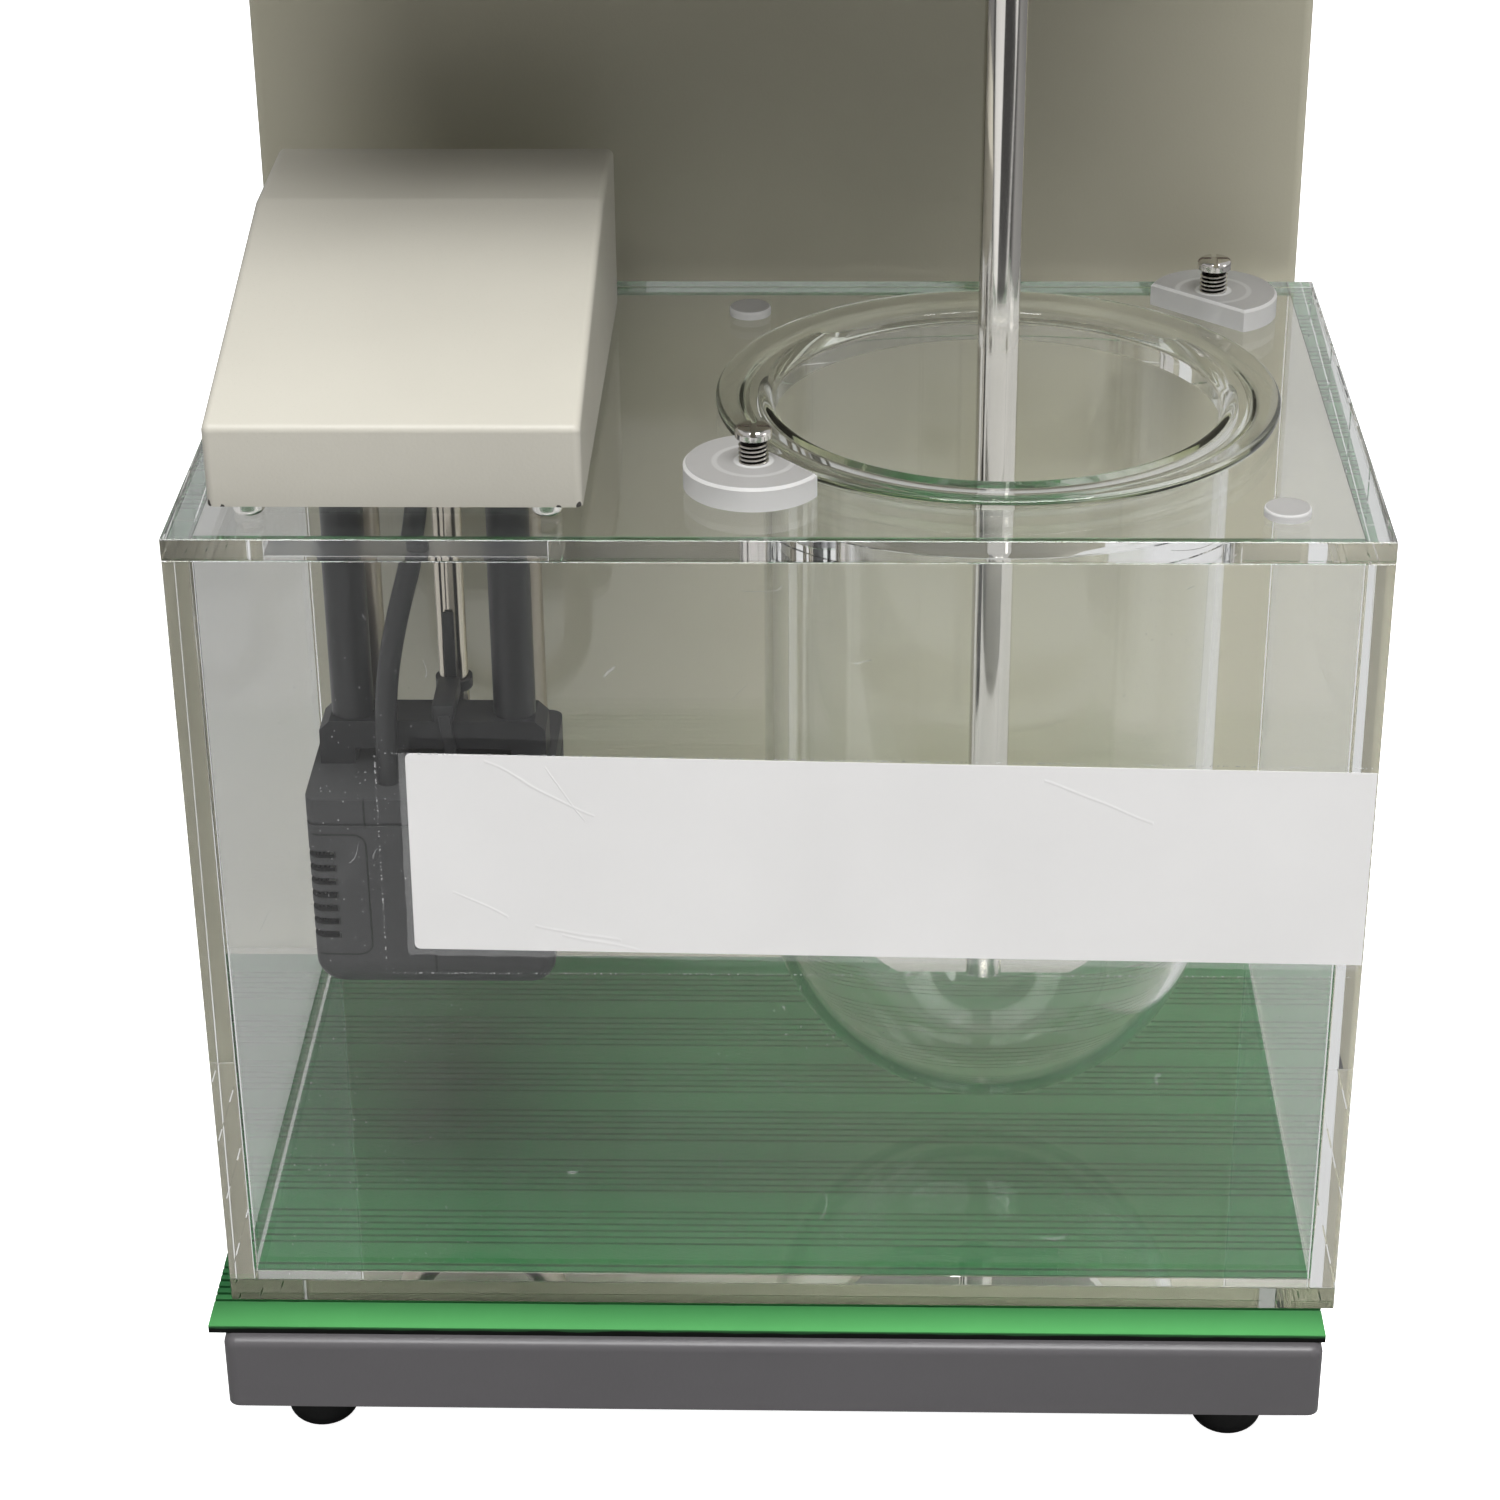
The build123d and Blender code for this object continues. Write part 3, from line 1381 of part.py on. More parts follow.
def heater_socket():
    """A round socket in the column, behind the module's cover, with three pins."""
    z = lid_top_z + socket_above_lid
    body = Cylinder(socket_body_diameter / 2, socket_length, align=bottom_align)
    lip = Pos(0, 0, -socket_lip) * Cylinder(socket_diameter / 2, socket_lip, align=bottom_align)
    socket = body + lip
    floor = socket_length / 2
    socket -= rod(0, 0, -socket_lip - cut_overrun, floor, socket_body_diameter - 2 * socket_wall)
    for place in PolarLocations(socket_pin_circle / 2, socket_pin_count):
        socket += place * rod(0, 0, socket_pin_setback, floor + socket_pin_diameter,
                              socket_pin_diameter)
    return Pos(socket_x, column_front_y, z) * along_y * socket


def mains_inlet():
    """A flanged inlet: a deep well with three flat pins, and a fuse drawer above it."""
    y = column_back_y
    half_body = inlet_body_width / 2
    half_well = half_body - inlet_wall
    low_z = inlet_z - inlet_height / 2 + inlet_wall
    high_z = inlet_z + inlet_height / 2 - inlet_wall
    floor_y = y - inlet_body_depth + inlet_wall
    face_y = y + inlet_flange
    well_z = low_z + inlet_wall
    body = block((inlet_x - inlet_width / 2, y, inlet_z - inlet_height / 2),
                 (inlet_x + inlet_width / 2, face_y, inlet_z + inlet_height / 2))
    body += block((inlet_x - half_body, y - inlet_body_depth, low_z),
                  (inlet_x + half_body, y, high_z))
    body -= block((inlet_x - half_well, floor_y, well_z),
                  (inlet_x + half_well, face_y + cut_overrun, well_z + inlet_well_height))
    drawer_z = high_z - inlet_wall - fuse_drawer_height
    groove = block((inlet_x - half_well, y, drawer_z),
                   (inlet_x + half_well, face_y + cut_overrun, drawer_z + fuse_drawer_height))
    drawer = block((inlet_x - half_well + fuse_drawer_gap, y, drawer_z + fuse_drawer_gap),
                   (inlet_x + half_well - fuse_drawer_gap, face_y - fuse_drawer_proud,
                    drawer_z + fuse_drawer_height - fuse_drawer_gap))
    body = body - groove + drawer
    for column, rise in ((-1, -1), (0, 1), (1, -1)):
        x = inlet_x + column * inlet_pin_pitch
        z = well_z + inlet_well_height / 2 + rise * inlet_pin_width / 2
        body += block((x - inlet_pin_thickness / 2, floor_y, z - inlet_pin_width / 2),
                      (x + inlet_pin_thickness / 2, floor_y + inlet_pin_length,
                       z + inlet_pin_width / 2))
    return body


def power_transformer():
    """A laminated core with a coil through it, standing on the base inside the column."""
    x = case_width / 2 - transformer_from_right
    y = (column_front_y + column_back_y) / 2
    z = base_top_z + transformer_core[2] / 2
    core = Pos(x, y, z) * Box(*transformer_core)
    return core + Pos(x, y, z) * Box(*transformer_coil)


def relay_board():
    """The heater's relay board on posts from the column's front."""
    y = column_front_y + case_sheet
    x_low = -case_width / 2 + 2 * column_back_lip
    z_low = base_top_z + relay_board_above_base
    board_y = y + relay_post_length
    board = block((x_low, board_y, z_low), (x_low + relay_board_width, board_y + board_thickness,
                                            z_low + relay_board_height))
    for side in (board_post_inset, relay_board_width - board_post_inset):
        for rise in (board_post_inset, relay_board_height - board_post_inset):
            board += Pos(x_low + side, y, z_low + rise) * along_y * Cylinder(
                board_post_diameter / 2, relay_post_length, align=bottom_align)
    pitch = relay_board_width / relay_count
    for place in range(relay_count):
        x = x_low + pitch * (place + 1 / 2)
        z = z_low + relay_board_height / 2
        board += block((x - relay_size[0] / 2, board_y + board_thickness, z),
                       (x + relay_size[0] / 2, board_y + board_thickness + relay_size[1],
                        z + relay_size[2]))
    return board


save("base_pan", base_pan())
save("base_bottom_plate", base_bottom_plate())
save("rubber_feet", *[rubber_foot(x, y) for x, y in base_screw_places()])
save("ribbed_mat", ribbed_mat())
save("column_shell", column_shell())
save("column_back_cover", column_back_cover())
save("case_screws", *case_screws())

for pane_name, pane in bath_panes().items():
    save(pane_name, pane)
save("bath_lid", bath_lid())
save("glass_vessel", glass_vessel())
for side_name, clamp_place in clamp_places().items():
    save(f"vessel_clamp_{side_name}", vessel_clamp(clamp_place))
save("clamp_screws", *[clamp_screw(place) for place in clamp_places().values()])
save("locating_buttons", locating_button(button_pad_rear_offset),
     locating_button(button_pad_front_offset))

save("head_shell", head_shell())
save("head_floor_plate", head_floor_plate())
save("spindle_housing", spindle_housing())
save("spindle_bushes", *spindle_bushes())
save("hollow_spindle", hollow_spindle())
save("spindle_gear", spindle_gear())
save("spindle_collar", spindle_collar())
save("chuck_body", chuck_body())
save("chuck_nut", chuck_nut())
save("paddle_shaft", paddle_shaft())
save("paddle_blade", paddle_blade())
save("drive_motor", drive_motor())
save("motor_gearbox", motor_gearbox())
save("motor_output_shaft", motor_output_shaft())
save("motor_pinion", motor_pinion())
save("head_top_bush", head_top_bush())

save("control_panel", control_panel())
save("display_window", display_window())
save("control_board", control_board())
for button_name, across in push_button_places().items():
    save(button_name, push_button(across))
save("rocker_frames", *[rocker_frame(across) for across in rocker_places().values()])
for rocker_name, across in rocker_places().items():
    save(rocker_name, switch_rocker(across))

save("module_cover", module_cover())
save("lead_grommet", lead_grommet())
save("module_base_plate", module_base_plate())
save("module_foot_screws", *[module_foot_screw(place) for place in module_foot_places()])
save("hanger_tubes", *hanger_tubes())
save("pump_hanger", pump_hanger())
save("pump_body", pump_body())
save("pump_intake_cover", pump_intake_cover())
save("pump_impeller", pump_impeller())
save("pump_lead", pump_lead())
save("heater_tube", heater_tube())
save("temperature_probe", temperature_probe())
save("probe_tie", probe_tie())

save("heater_socket", heater_socket())
save("mains_inlet", mains_inlet())
save("power_transformer", power_transformer())
save("relay_board", relay_board())
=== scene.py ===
# %% [markdown]
# A tablet dissolution tester, dressed for a picture.
# The machine holds a clear acrylic bath. A round bottomed glass vessel hangs in its lid, and a
# paddle turns in the vessel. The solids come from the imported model, and this script gives them
# their finishes, swaps some of them for finer pieces, and adds the small things that solids
# leave out. Every length is in metres, with Z up and the front towards -Y.

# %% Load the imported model
import math

import bmesh
import bpy
from mathutils import Matrix, Vector


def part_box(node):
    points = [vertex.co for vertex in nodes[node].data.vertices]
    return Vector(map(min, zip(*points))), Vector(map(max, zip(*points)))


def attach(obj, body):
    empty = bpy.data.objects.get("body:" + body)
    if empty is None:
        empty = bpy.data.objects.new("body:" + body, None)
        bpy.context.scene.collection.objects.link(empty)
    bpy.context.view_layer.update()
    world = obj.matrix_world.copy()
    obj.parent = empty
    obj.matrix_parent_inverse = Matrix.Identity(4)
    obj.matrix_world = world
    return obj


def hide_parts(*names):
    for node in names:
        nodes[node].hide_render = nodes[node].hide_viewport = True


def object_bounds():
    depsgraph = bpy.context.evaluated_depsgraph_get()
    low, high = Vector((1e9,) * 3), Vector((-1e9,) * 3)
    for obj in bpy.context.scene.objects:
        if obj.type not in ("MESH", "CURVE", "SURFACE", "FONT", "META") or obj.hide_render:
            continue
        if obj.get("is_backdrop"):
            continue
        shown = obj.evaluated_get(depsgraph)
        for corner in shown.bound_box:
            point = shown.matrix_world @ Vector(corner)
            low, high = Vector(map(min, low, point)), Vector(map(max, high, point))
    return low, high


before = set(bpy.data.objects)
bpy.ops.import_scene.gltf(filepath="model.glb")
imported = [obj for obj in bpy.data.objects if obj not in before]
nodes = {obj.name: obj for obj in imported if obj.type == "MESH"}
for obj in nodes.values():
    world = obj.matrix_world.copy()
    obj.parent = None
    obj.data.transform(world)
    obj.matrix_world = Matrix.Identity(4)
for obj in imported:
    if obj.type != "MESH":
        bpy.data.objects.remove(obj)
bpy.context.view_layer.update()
scene = bpy.context.scene
mm = 0.001


def put(name, data):
    """A new object in the scene that holds this data."""
    made = bpy.data.objects.new(name, data)
    bpy.context.collection.objects.link(made)
    return made


# %% [markdown]
# The picture is taken with a long lens from in front and above, and it is cropped tightly: the
# drive head is above its top edge. The camera is stated by its place, its three turns and its
# focal length, which were fitted to the corners of the bath.

# %% Camera
camera_place = Vector((17.2, -791.1, 540.0)) * mm
camera_pan = math.radians(1.794)
camera_dip = math.radians(27.85)
camera_roll = math.radians(-0.594)
sensor_width = 36.0
picture_width = 1500.0
focal_pixels = 3509.1

ahead = Vector((-math.sin(camera_pan) * math.cos(camera_dip),
                math.cos(camera_pan) * math.cos(camera_dip), -math.sin(camera_dip)))
level_right = Vector((math.cos(camera_pan), math.sin(camera_pan), 0))
level_up = level_right.cross(ahead)
right = level_right * math.cos(camera_roll) + level_up * math.sin(camera_roll)
up = level_up * math.cos(camera_roll) - level_right * math.sin(camera_roll)

lens = bpy.data.cameras.new("photo_camera")
lens.sensor_width = sensor_width
lens.lens = focal_pixels / picture_width * sensor_width
camera = put("photo_camera", lens)
camera.matrix_world = Matrix((right, up, -ahead)).transposed().to_4x4()
camera.location = camera_place
scene.camera = camera
print("lens", round(lens.lens, 1), "mm")

# %% [markdown]
# A material is easier to read as a sum than as a web of nodes. Signal wraps one socket, and each
# Python operator on it adds the Math node that does the same. Finish holds a material's node
# tree, and its node method adds any other node: its settings first, then its sockets.


# %% Shader maths
class Signal:
    """One number or colour on its way through a material."""

    def __init__(self, finish, socket):
        self.finish = finish
        self.socket = socket

    def math(self, operation, *values):
        return self.finish.node("ShaderNodeMath", {"operation": operation},
                                dict(enumerate(values)))

    def __add__(self, other):
        return self.math("ADD", self, other)

    __radd__ = __add__

    def __sub__(self, other):
        return self.math("SUBTRACT", self, other)

    def __rsub__(self, other):
        return self.math("SUBTRACT", other, self)

    def __mul__(self, other):
        return self.math("MULTIPLY", self, other)

    __rmul__ = __mul__

    def __or__(self, other):
        return self.math("MAXIMUM", self, other)

    def __abs__(self):
        return self.math("ABSOLUTE", self)

    def __gt__(self, other):
        return self.math("GREATER_THAN", self, other)

    def __lt__(self, other):
        return self.math("LESS_THAN", self, other)

    def ramp(self, low, high):
        """0 below low, 1 above high, and a straight rise between them."""
        return self.finish.node("ShaderNodeMapRange", {"clamp": True},
                                {"Value": self, "From Min": low, "From Max": high})


def any_of(masks):
    """One mask that is as high as the highest of these."""
    whole = masks[0]
    for mask in masks[1:]:
        whole = whole | mask
    return whole


class Graph:
    """A node tree, with one method that adds any node."""

    def __init__(self, tree):
        self.tree = tree

    def set(self, node, sockets):
        for key, value in sockets.items():
            socket = node.inputs[key]
            if isinstance(value, Signal):
                self.tree.links.new(value.socket, socket)
            else:
                socket.default_value = value

    def add(self, kind, settings, sockets):
        made = self.tree.nodes.new(kind)
        for key, value in settings.items():
            setattr(made, key, value)
        self.set(made, sockets)
        return made

    def node(self, kind, settings, sockets, output=0):
        return Signal(self, self.add(kind, settings, sockets).outputs[output])

    def ray(self, kind):
        """1 where the light ray that asks is of this kind, and 0 elsewhere."""
        return self.node("ShaderNodeLightPath", {}, {}, f"Is {kind} Ray")


class Finish(Graph):
    """A material made of nodes, built up from its Principled shader."""

    def __init__(self, name, colour, roughness, **surface):
        self.material = bpy.data.materials.new(name)
        self.material.use_nodes = True
        super().__init__(self.material.node_tree)
        self.shader = self.tree.nodes["Principled BSDF"]
        self.output = self.tree.nodes["Material Output"]
        self.colour = (*colour, 1.0)
        self.set(self.shader, {"Base Color": self.colour, "Roughness": roughness})
        self.set(self.shader, {key.replace("_", " "): value for key, value in surface.items()})

    def place(self):
        return self.node("ShaderNodeTexCoord", {}, {}, "Object")

    def axes(self):
        """X, Y and Z of the place on the piece, in metres."""
        split = self.add("ShaderNodeSeparateXYZ", {}, {0: self.place()})
        return [Signal(self, socket) for socket in split.outputs]

    def away(self, middle):
        """How far the place is from a point."""
        return self.node("ShaderNodeVectorMath", {"operation": "DISTANCE"},
                         {0: self.place(), 1: middle}, "Value")

    def noise(self, scale, detail=2.0, stretch=None, distortion=0.0):
        """Cloudy values round 0.5. scale is in features per metre."""
        where = self.place()
        if stretch:
            where = self.node("ShaderNodeMapping", {}, {"Vector": where, "Scale": stretch})
        return self.node("ShaderNodeTexNoise", {"normalize": True},
                         {"Vector": where, "Scale": scale, "Detail": detail,
                          "Distortion": distortion})

    def mix(self, share, first, second):
        """A colour that goes from first to second as share goes from 0 to 1."""
        return self.node("ShaderNodeMix", {"data_type": "RGBA", "clamp_factor": True},
                         {0: share, 6: self.rgba(first), 7: self.rgba(second)}, 2)

    def rgba(self, value):
        return value if isinstance(value, Signal) or len(value) == 4 else (*value, 1.0)

    def mottle(self, scale, amount, **noise):
        """Base colour that wanders lighter and darker by that amount."""
        cloud = self.noise(scale, **noise)
        darker = tuple(channel * (1 - amount) for channel in self.colour[:3])
        lighter = tuple(min(1.0, channel * (1 + amount)) for channel in self.colour[:3])
        return self.mix(cloud.ramp(0.3, 0.7), darker, lighter)

    def paint(self, mask, colour):
        """Put another colour over the one that is there, where the mask is 1."""
        below = Signal(self, self.shader.inputs["Base Color"].links[0].from_socket)
        self.set(self.shader, {"Base Color": self.mix(mask, below, colour)})

    def bump(self, height, distance):
        """Raise the surface by height, where 1 stands for that distance in metres."""
        self.set(self.shader, {"Normal": self.node("ShaderNodeBump", {}, {
            "Strength": 1.0, "Distance": distance, "Height": height})})


# %% [markdown]
# The whole case is powder coated sheet: a warm grey cream with a fine orange peel, which a bump
# of about 1 mm grain gives. The colour wanders by a few percent, because a flat colour looks
# like plastic. The base pan has the same coat in a blue grey with a satin shine.

# %% Powder coats
cream_colour = (0.58, 0.557, 0.485)
column_colour = (0.53, 0.505, 0.39)
base_colour = (0.105, 0.100, 0.105)
peel_grain = 1300.0
peel_depth = 0.03 * mm


def powder_coat(name, colour, roughness):
    coat = Finish(name, colour, roughness)
    wander = coat.mottle(14.0, 0.035, detail=3.0)
    speck = coat.noise(2600.0, detail=1.0)
    shade = tuple(channel * 0.9 for channel in colour)
    coat.set(coat.shader, {
        "Base Color": coat.mix(speck.ramp(0.62, 0.8) * 0.5, wander, shade),
        "Roughness": coat.noise(60.0) * 0.1 + (roughness - 0.05)})
    coat.bump(coat.noise(peel_grain), peel_depth)
    return coat


column_coat = powder_coat("column_coat", column_colour, 0.5)
base_coat = powder_coat("base_coat", base_colour, 0.36)
cover_coat = powder_coat("cover_coat", cream_colour, 0.46)

# %% [markdown]
# The heater's cover has been knocked at its two lower front corners, so the coat is chipped to
# the dark primer there. Each chip is a small ball of space with a ragged edge: the distance to
# its middle plus some noise, compared with its size.

# %% Chipped coat of the heater's cover
cover_low, cover_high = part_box("module_cover")
chip_places = [
    (Vector((cover_low.x, cover_low.y, cover_low.z + 0.6 * mm)), 1.5 * mm),
    (Vector((cover_low.x + 3.4 * mm, cover_low.y, cover_low.z)), 0.9 * mm),
    (Vector((cover_high.x - 0.6 * mm, cover_low.y, cover_low.z + 0.4 * mm)), 1.2 * mm),
    (Vector((cover_high.x - 5.0 * mm, cover_low.y, cover_low.z)), 0.7 * mm),
]
primer_dark = (0.05, 0.045, 0.04)
raggedness = 1.2
chip_reach = 1.3


def chip(coat, places, bare):
    """Paint chips of a bare colour into a coat."""
    ragged = coat.noise(900.0, detail=3.0)
    coat.paint(any_of([coat.away(middle) + ragged * radius * raggedness < radius * chip_reach
                       for middle, radius in places]), bare)


chip(cover_coat, chip_places, primer_dark)
print("chips", len(chip_places))

# %% [markdown]
# Clear acrylic and glass bend light, so they are transmissive surfaces with their real index.
# A lamp's light would cast a full shadow through them, so for shadow rays a tinted transparent
# shader takes over. Their edges look green because light travels far inside them, and a faint
# absorbing volume gives that by itself.

# %% Clear materials
acrylic_index = 1.49
glass_index = 1.474


def clear(name, index, tint, depth_colour, depth, shadow):
    """A clear solid. depth_colour is what is left after depth metres inside it."""
    made = Finish(name, tint, 0.0, IOR=index, Transmission_Weight=1.0)
    passing = made.node("ShaderNodeBsdfTransparent", {},
                        {"Color": tuple(shadow * channel for channel in tint) + (1.0,)})
    body = Signal(made, made.shader.outputs["BSDF"])
    both = made.node("ShaderNodeMixShader", {}, {0: made.ray("Shadow"), 1: body, 2: passing})
    inside = made.node("ShaderNodeVolumeAbsorption", {},
                       {"Color": (*depth_colour, 1.0), "Density": 1.0 / depth})
    made.set(made.output, {"Surface": both, "Volume": inside})
    return made


acrylic = clear("clear_acrylic", acrylic_index, (0.997, 1.0, 0.998), (0.90, 0.93, 0.915), 1.0,
                shadow=0.945)
floor_acrylic = clear("floor_acrylic", acrylic_index, (0.997, 1.0, 0.998), (0.55, 0.56, 0.52),
                      0.12, shadow=0.945)
glass = clear("borosilicate_glass", glass_index, (0.995, 1.0, 0.99), (0.85, 0.895, 0.74), 0.09,
              shadow=0.94)

# %% [markdown]
# The clamp discs and locating buttons are acrylic too, but turned and left with a frosted
# surface, so they look like ice: light comes through, and no picture does. Their faces are a
# little greyer than their sides. A disc has a faint ring where it sat in the lathe, and a white
# one round its screw, which are bands of distance from the screw's middle.

# %% Frosted acrylic
disc_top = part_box("vessel_clamp_front")[1].z
button_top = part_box("locating_buttons")[1].z
screw_places = [Vector((-3.3, -90.3, 0)) * mm, Vector((105.3, 14.9, 0)) * mm]
disc_rings = [(3.7, 0.9, 1.0), (8.6, 0.8, 0.35)]
face_skin = 0.1 * mm
frost_side = (0.98, 0.975, 0.96)
frost_face = (0.54, 0.53, 0.52)
frost_ring = (0.95, 0.95, 0.94)


def ring(made, middle, radius, width, strength):
    """A soft band round a point, with its radius and width in mm."""
    off = abs(made.away(middle) - radius * mm)
    return (1 - (off * (1 / (width * mm))).ramp(0.5, 1.0)) * strength


def frosted(name, top, rings=()):
    made = Finish(name, (0.97, 0.965, 0.95), 0.5, IOR=1.3, Transmission_Weight=0.5)
    face = made.axes()[2] > top - face_skin
    shade = made.mix(face, frost_side, frost_face)
    if rings:
        lines = [ring(made, Vector((place.x, place.y, top)), *band)
                 for place in screw_places for band in rings]
        shade = made.mix(any_of(lines), shade, frost_ring)
    made.set(made.shader, {
        "Base Color": shade,
        "Roughness": made.noise(240.0, detail=3.0) * 0.15 + 0.42})
    made.bump(made.noise(2200.0), 0.03 * mm)
    return made


disc_frost = frosted("frosted_disc", disc_top, disc_rings)
button_frost = frosted("frosted_button", button_top)

# %% [markdown]
# Bright steel shows what is round it, so its own colour matters less than its fine marks. Drawn
# tube and shaft have hairlines along their length, and turned pieces have them round their
# axis, which a noise stretched along one direction gives.

# %% Metals
along_shaft = (1.0, 1.0, 0.02)
round_axis = (0.05, 0.05, 1.0)
rolled = (1.0, 0.03, 1.0)
hairline_depth = 0.008 * mm


def metal(name, colour, roughness, stretch=None, grain=500.0):
    made = Finish(name, colour, roughness, Metallic=1.0)
    lines = made.noise(grain, stretch=stretch)
    made.set(made.shader, {
        "Base Color": made.mottle(40.0, 0.03),
        "Roughness": lines * 0.12 + (roughness - 0.05)})
    made.bump(lines, hairline_depth)
    return made


polished_steel = metal("polished_shaft_steel", (0.80, 0.775, 0.73), 0.1, along_shaft, 800.0)
probe_steel = metal("probe_steel", (0.60, 0.55, 0.47), 0.12, along_shaft, 700.0)
heater_steel = metal("heater_steel", (0.40, 0.36, 0.30), 0.3, along_shaft)
turned_steel = metal("turned_steel", (0.60, 0.60, 0.61), 0.26, round_axis, 1600.0)
case_screw_steel = metal("zinc_plated_screw", (0.52, 0.50, 0.47), 0.24)
foot_screw_steel = metal("foot_screw", (0.82, 0.80, 0.77), 0.12)
clamp_screw_steel = metal("clamp_screw", (0.74, 0.71, 0.68), 0.1)
thread_steel = metal("rolled_thread", (0.72, 0.70, 0.67), 0.16)
plate_aluminium = metal("mill_aluminium", (0.62, 0.63, 0.64), 0.34, rolled, 700.0)
gear_brass = metal("hobbed_brass", (0.72, 0.52, 0.24), 0.3, round_axis, 1500.0)
bush_bronze = metal("bush_bronze", (0.55, 0.36, 0.18), 0.34, round_axis, 1500.0)
cast_grey = metal("cast_zinc", (0.34, 0.34, 0.35), 0.5)

# %% [markdown]
# Between its disc and its head, a clamp screw's thread shades its own roots. The crests are a
# finer piece further down, so the shank behind them is painted nearly black by its height: painted
# shade.

# %% Painted shade in the roots of the clamp screws
screw_head_height = 2.4 * mm
screw_head_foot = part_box("clamp_screws")[1].z - screw_head_height
# Painted shade of the thread, on the shank between the disc and the head.
root_shade_black = (0.01, 0.009, 0.008)

screw_height = clamp_screw_steel.axes()[2]
free_shank = (screw_height < screw_head_foot - 0.1 * mm) * (screw_height > disc_top - 1.0 * mm)
clamp_screw_steel.paint(free_shank, root_shade_black)
print("free shank", round((screw_head_foot - disc_top) / mm, 2), "mm")

# %% [markdown]
# Plastics and rubber are dull and dark. Moulded plastic has a fine spark eroded grain, and the
# pump has dried water marks, lighter than the rest. Rubber is duller and has no highlight.

# %% Plastics and rubber
fine_grain = 2400.0
coarse_grain = 1200.0
faint_depth = 0.004 * mm
soft_depth = 0.008 * mm
grain_depth = 0.02 * mm


def moulded(name, colour, roughness, grain=fine_grain, depth=grain_depth, bloom=0.0):
    made = Finish(name, colour, roughness)
    base = made.mottle(30.0, 0.08)
    marks = made.noise(55.0, detail=5.0).ramp(0.56, 0.72) * bloom
    pale = tuple(channel * 0.6 + 0.10 for channel in colour)
    made.set(made.shader, {
        "Base Color": made.mix(marks, base, pale),
        "Roughness": made.noise(150.0) * 0.16 + (roughness - 0.08)})
    made.bump(made.noise(grain), depth)
    return made


tube_black = moulded("tube_black", (0.016, 0.016, 0.017), 0.4, coarse_grain, faint_depth, 0.12)
lead_black = moulded("lead_black", (0.018, 0.018, 0.019), 0.42, coarse_grain, faint_depth)
pump_black = moulded("pump_black", (0.030, 0.030, 0.031), 0.58, fine_grain, soft_depth, 0.2)
hanger_black = moulded("hanger_black", (0.012, 0.012, 0.013), 0.5, fine_grain, soft_depth, 0.15)
plain_black = moulded("plain_black", (0.022, 0.022, 0.023), 0.45)
rubber_black = moulded("foot_rubber", (0.004, 0.004, 0.004), 0.75, coarse_grain, 0.04 * mm)
impeller_white = moulded("impeller_white", (0.62, 0.62, 0.58), 0.4)
key_grey = moulded("key_grey", (0.16, 0.17, 0.19), 0.5)
panel_film = moulded("panel_film", (0.085, 0.10, 0.125), 0.38, 3200.0, 0.01 * mm)
board_green = moulded("board_green", (0.02, 0.12, 0.05), 0.4)
window_dark = moulded("window_dark", (0.010, 0.004, 0.004), 0.12, 3000.0, 0.0)
motor_paint = moulded("motor_paint", (0.03, 0.03, 0.034), 0.4)

# %% [markdown]
# The pump's housing is moulded in parts, and their joints show as thin dark lines on its front:
# one round the slotted intake cover, with a rounded corner, and short ones above and below it.
# A rounded outline is a distance too: how far the place is outside a box that is smaller by the
# corner's radius, compared with that radius. Inside the slots is shade, painted nearly black, and
# a
# ping pong of the height finds them: it rises and falls once in each pitch.

# %% Joint lines, and painted shade in the slots of the pump
intake_low, intake_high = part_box("pump_intake_cover")
pump_low, pump_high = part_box("pump_body")
front_skin = 0.6 * mm
joint_radius = 3.0 * mm
joint_width = 0.26 * mm
joints_and_slot_shade_black = (0.002, 0.002, 0.002)
upper_joint_rise = 2.0 * mm
lower_joint_shift = 14.5 * mm
slot_pitch = 3.5 * mm
slot_length = 6.5 * mm
half_slot = 0.95 * mm
pitches_each_way = 3.4


def paint_joints(made):
    x, y, z = made.axes()
    middle = (intake_low.z + intake_high.z) / 2
    half = (intake_high.z - intake_low.z) / 2 - joint_radius
    across = (x - (intake_high.x - joint_radius)) | 0.0
    upright = (abs(z - middle) - half) | 0.0
    squared = across * across + upright * upright
    outline = abs(squared.math("SQRT", squared) - joint_radius) < joint_width
    upper = (abs(x - intake_high.x) < joint_width) * (z > intake_high.z + upper_joint_rise)
    lower = (abs(x - intake_high.x - lower_joint_shift) < joint_width) * (z < intake_low.z)
    made.paint((outline | upper | lower) * (y < pump_low.y + front_skin), joints_and_slot_shade_black)


def paint_slot_shade(made):
    x, _, z = made.axes()
    rise = z - (intake_low.z + intake_high.z) / 2
    wave = rise.math("PINGPONG", rise, slot_pitch / 2)
    rows = (wave < half_slot) * (abs(rise) < pitches_each_way * slot_pitch)
    # Painted shade inside the intake slots.
    made.paint(rows * (x < intake_low.x + slot_length), joints_and_slot_shade_black)


paint_joints(pump_black)
paint_slot_shade(pump_black)
print("slots", 1 + 2 * int(pitches_each_way))

# %% [markdown]
# The bench mat is two layers of rubber: a green one on top, with rolled grooves, and a black one
# below, which shows at its cut edges and also stands for the shadow under the mat's front edge.
# The grooves look nearly black green, because dust and shade sit in them, so anything a little
# below the top face is darker. The knife wandered a little, so noise moves the line between the
# layers. Under the bath, painted shade makes the mat darker and its grooves softer.

# %% Ribbed mat
mat_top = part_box("ribbed_mat")[1].z
pane_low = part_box("bath_front_pane")[0]
mat_colour = (0.072, 0.300, 0.088)
groove_colour = (0.006, 0.030, 0.012)
under_bath_shade_colour = (0.012, 0.088, 0.025)
backing_and_edge_shadow_colour = (0.003, 0.004, 0.003)
groove_from = 0.05 * mm
groove_to = 0.45 * mm
green_layer = 0.75 * mm
knife_wander = 1.2 * mm
covered_from = pane_low.y - 9.0 * mm
covered_to = pane_low.y + 4.0 * mm


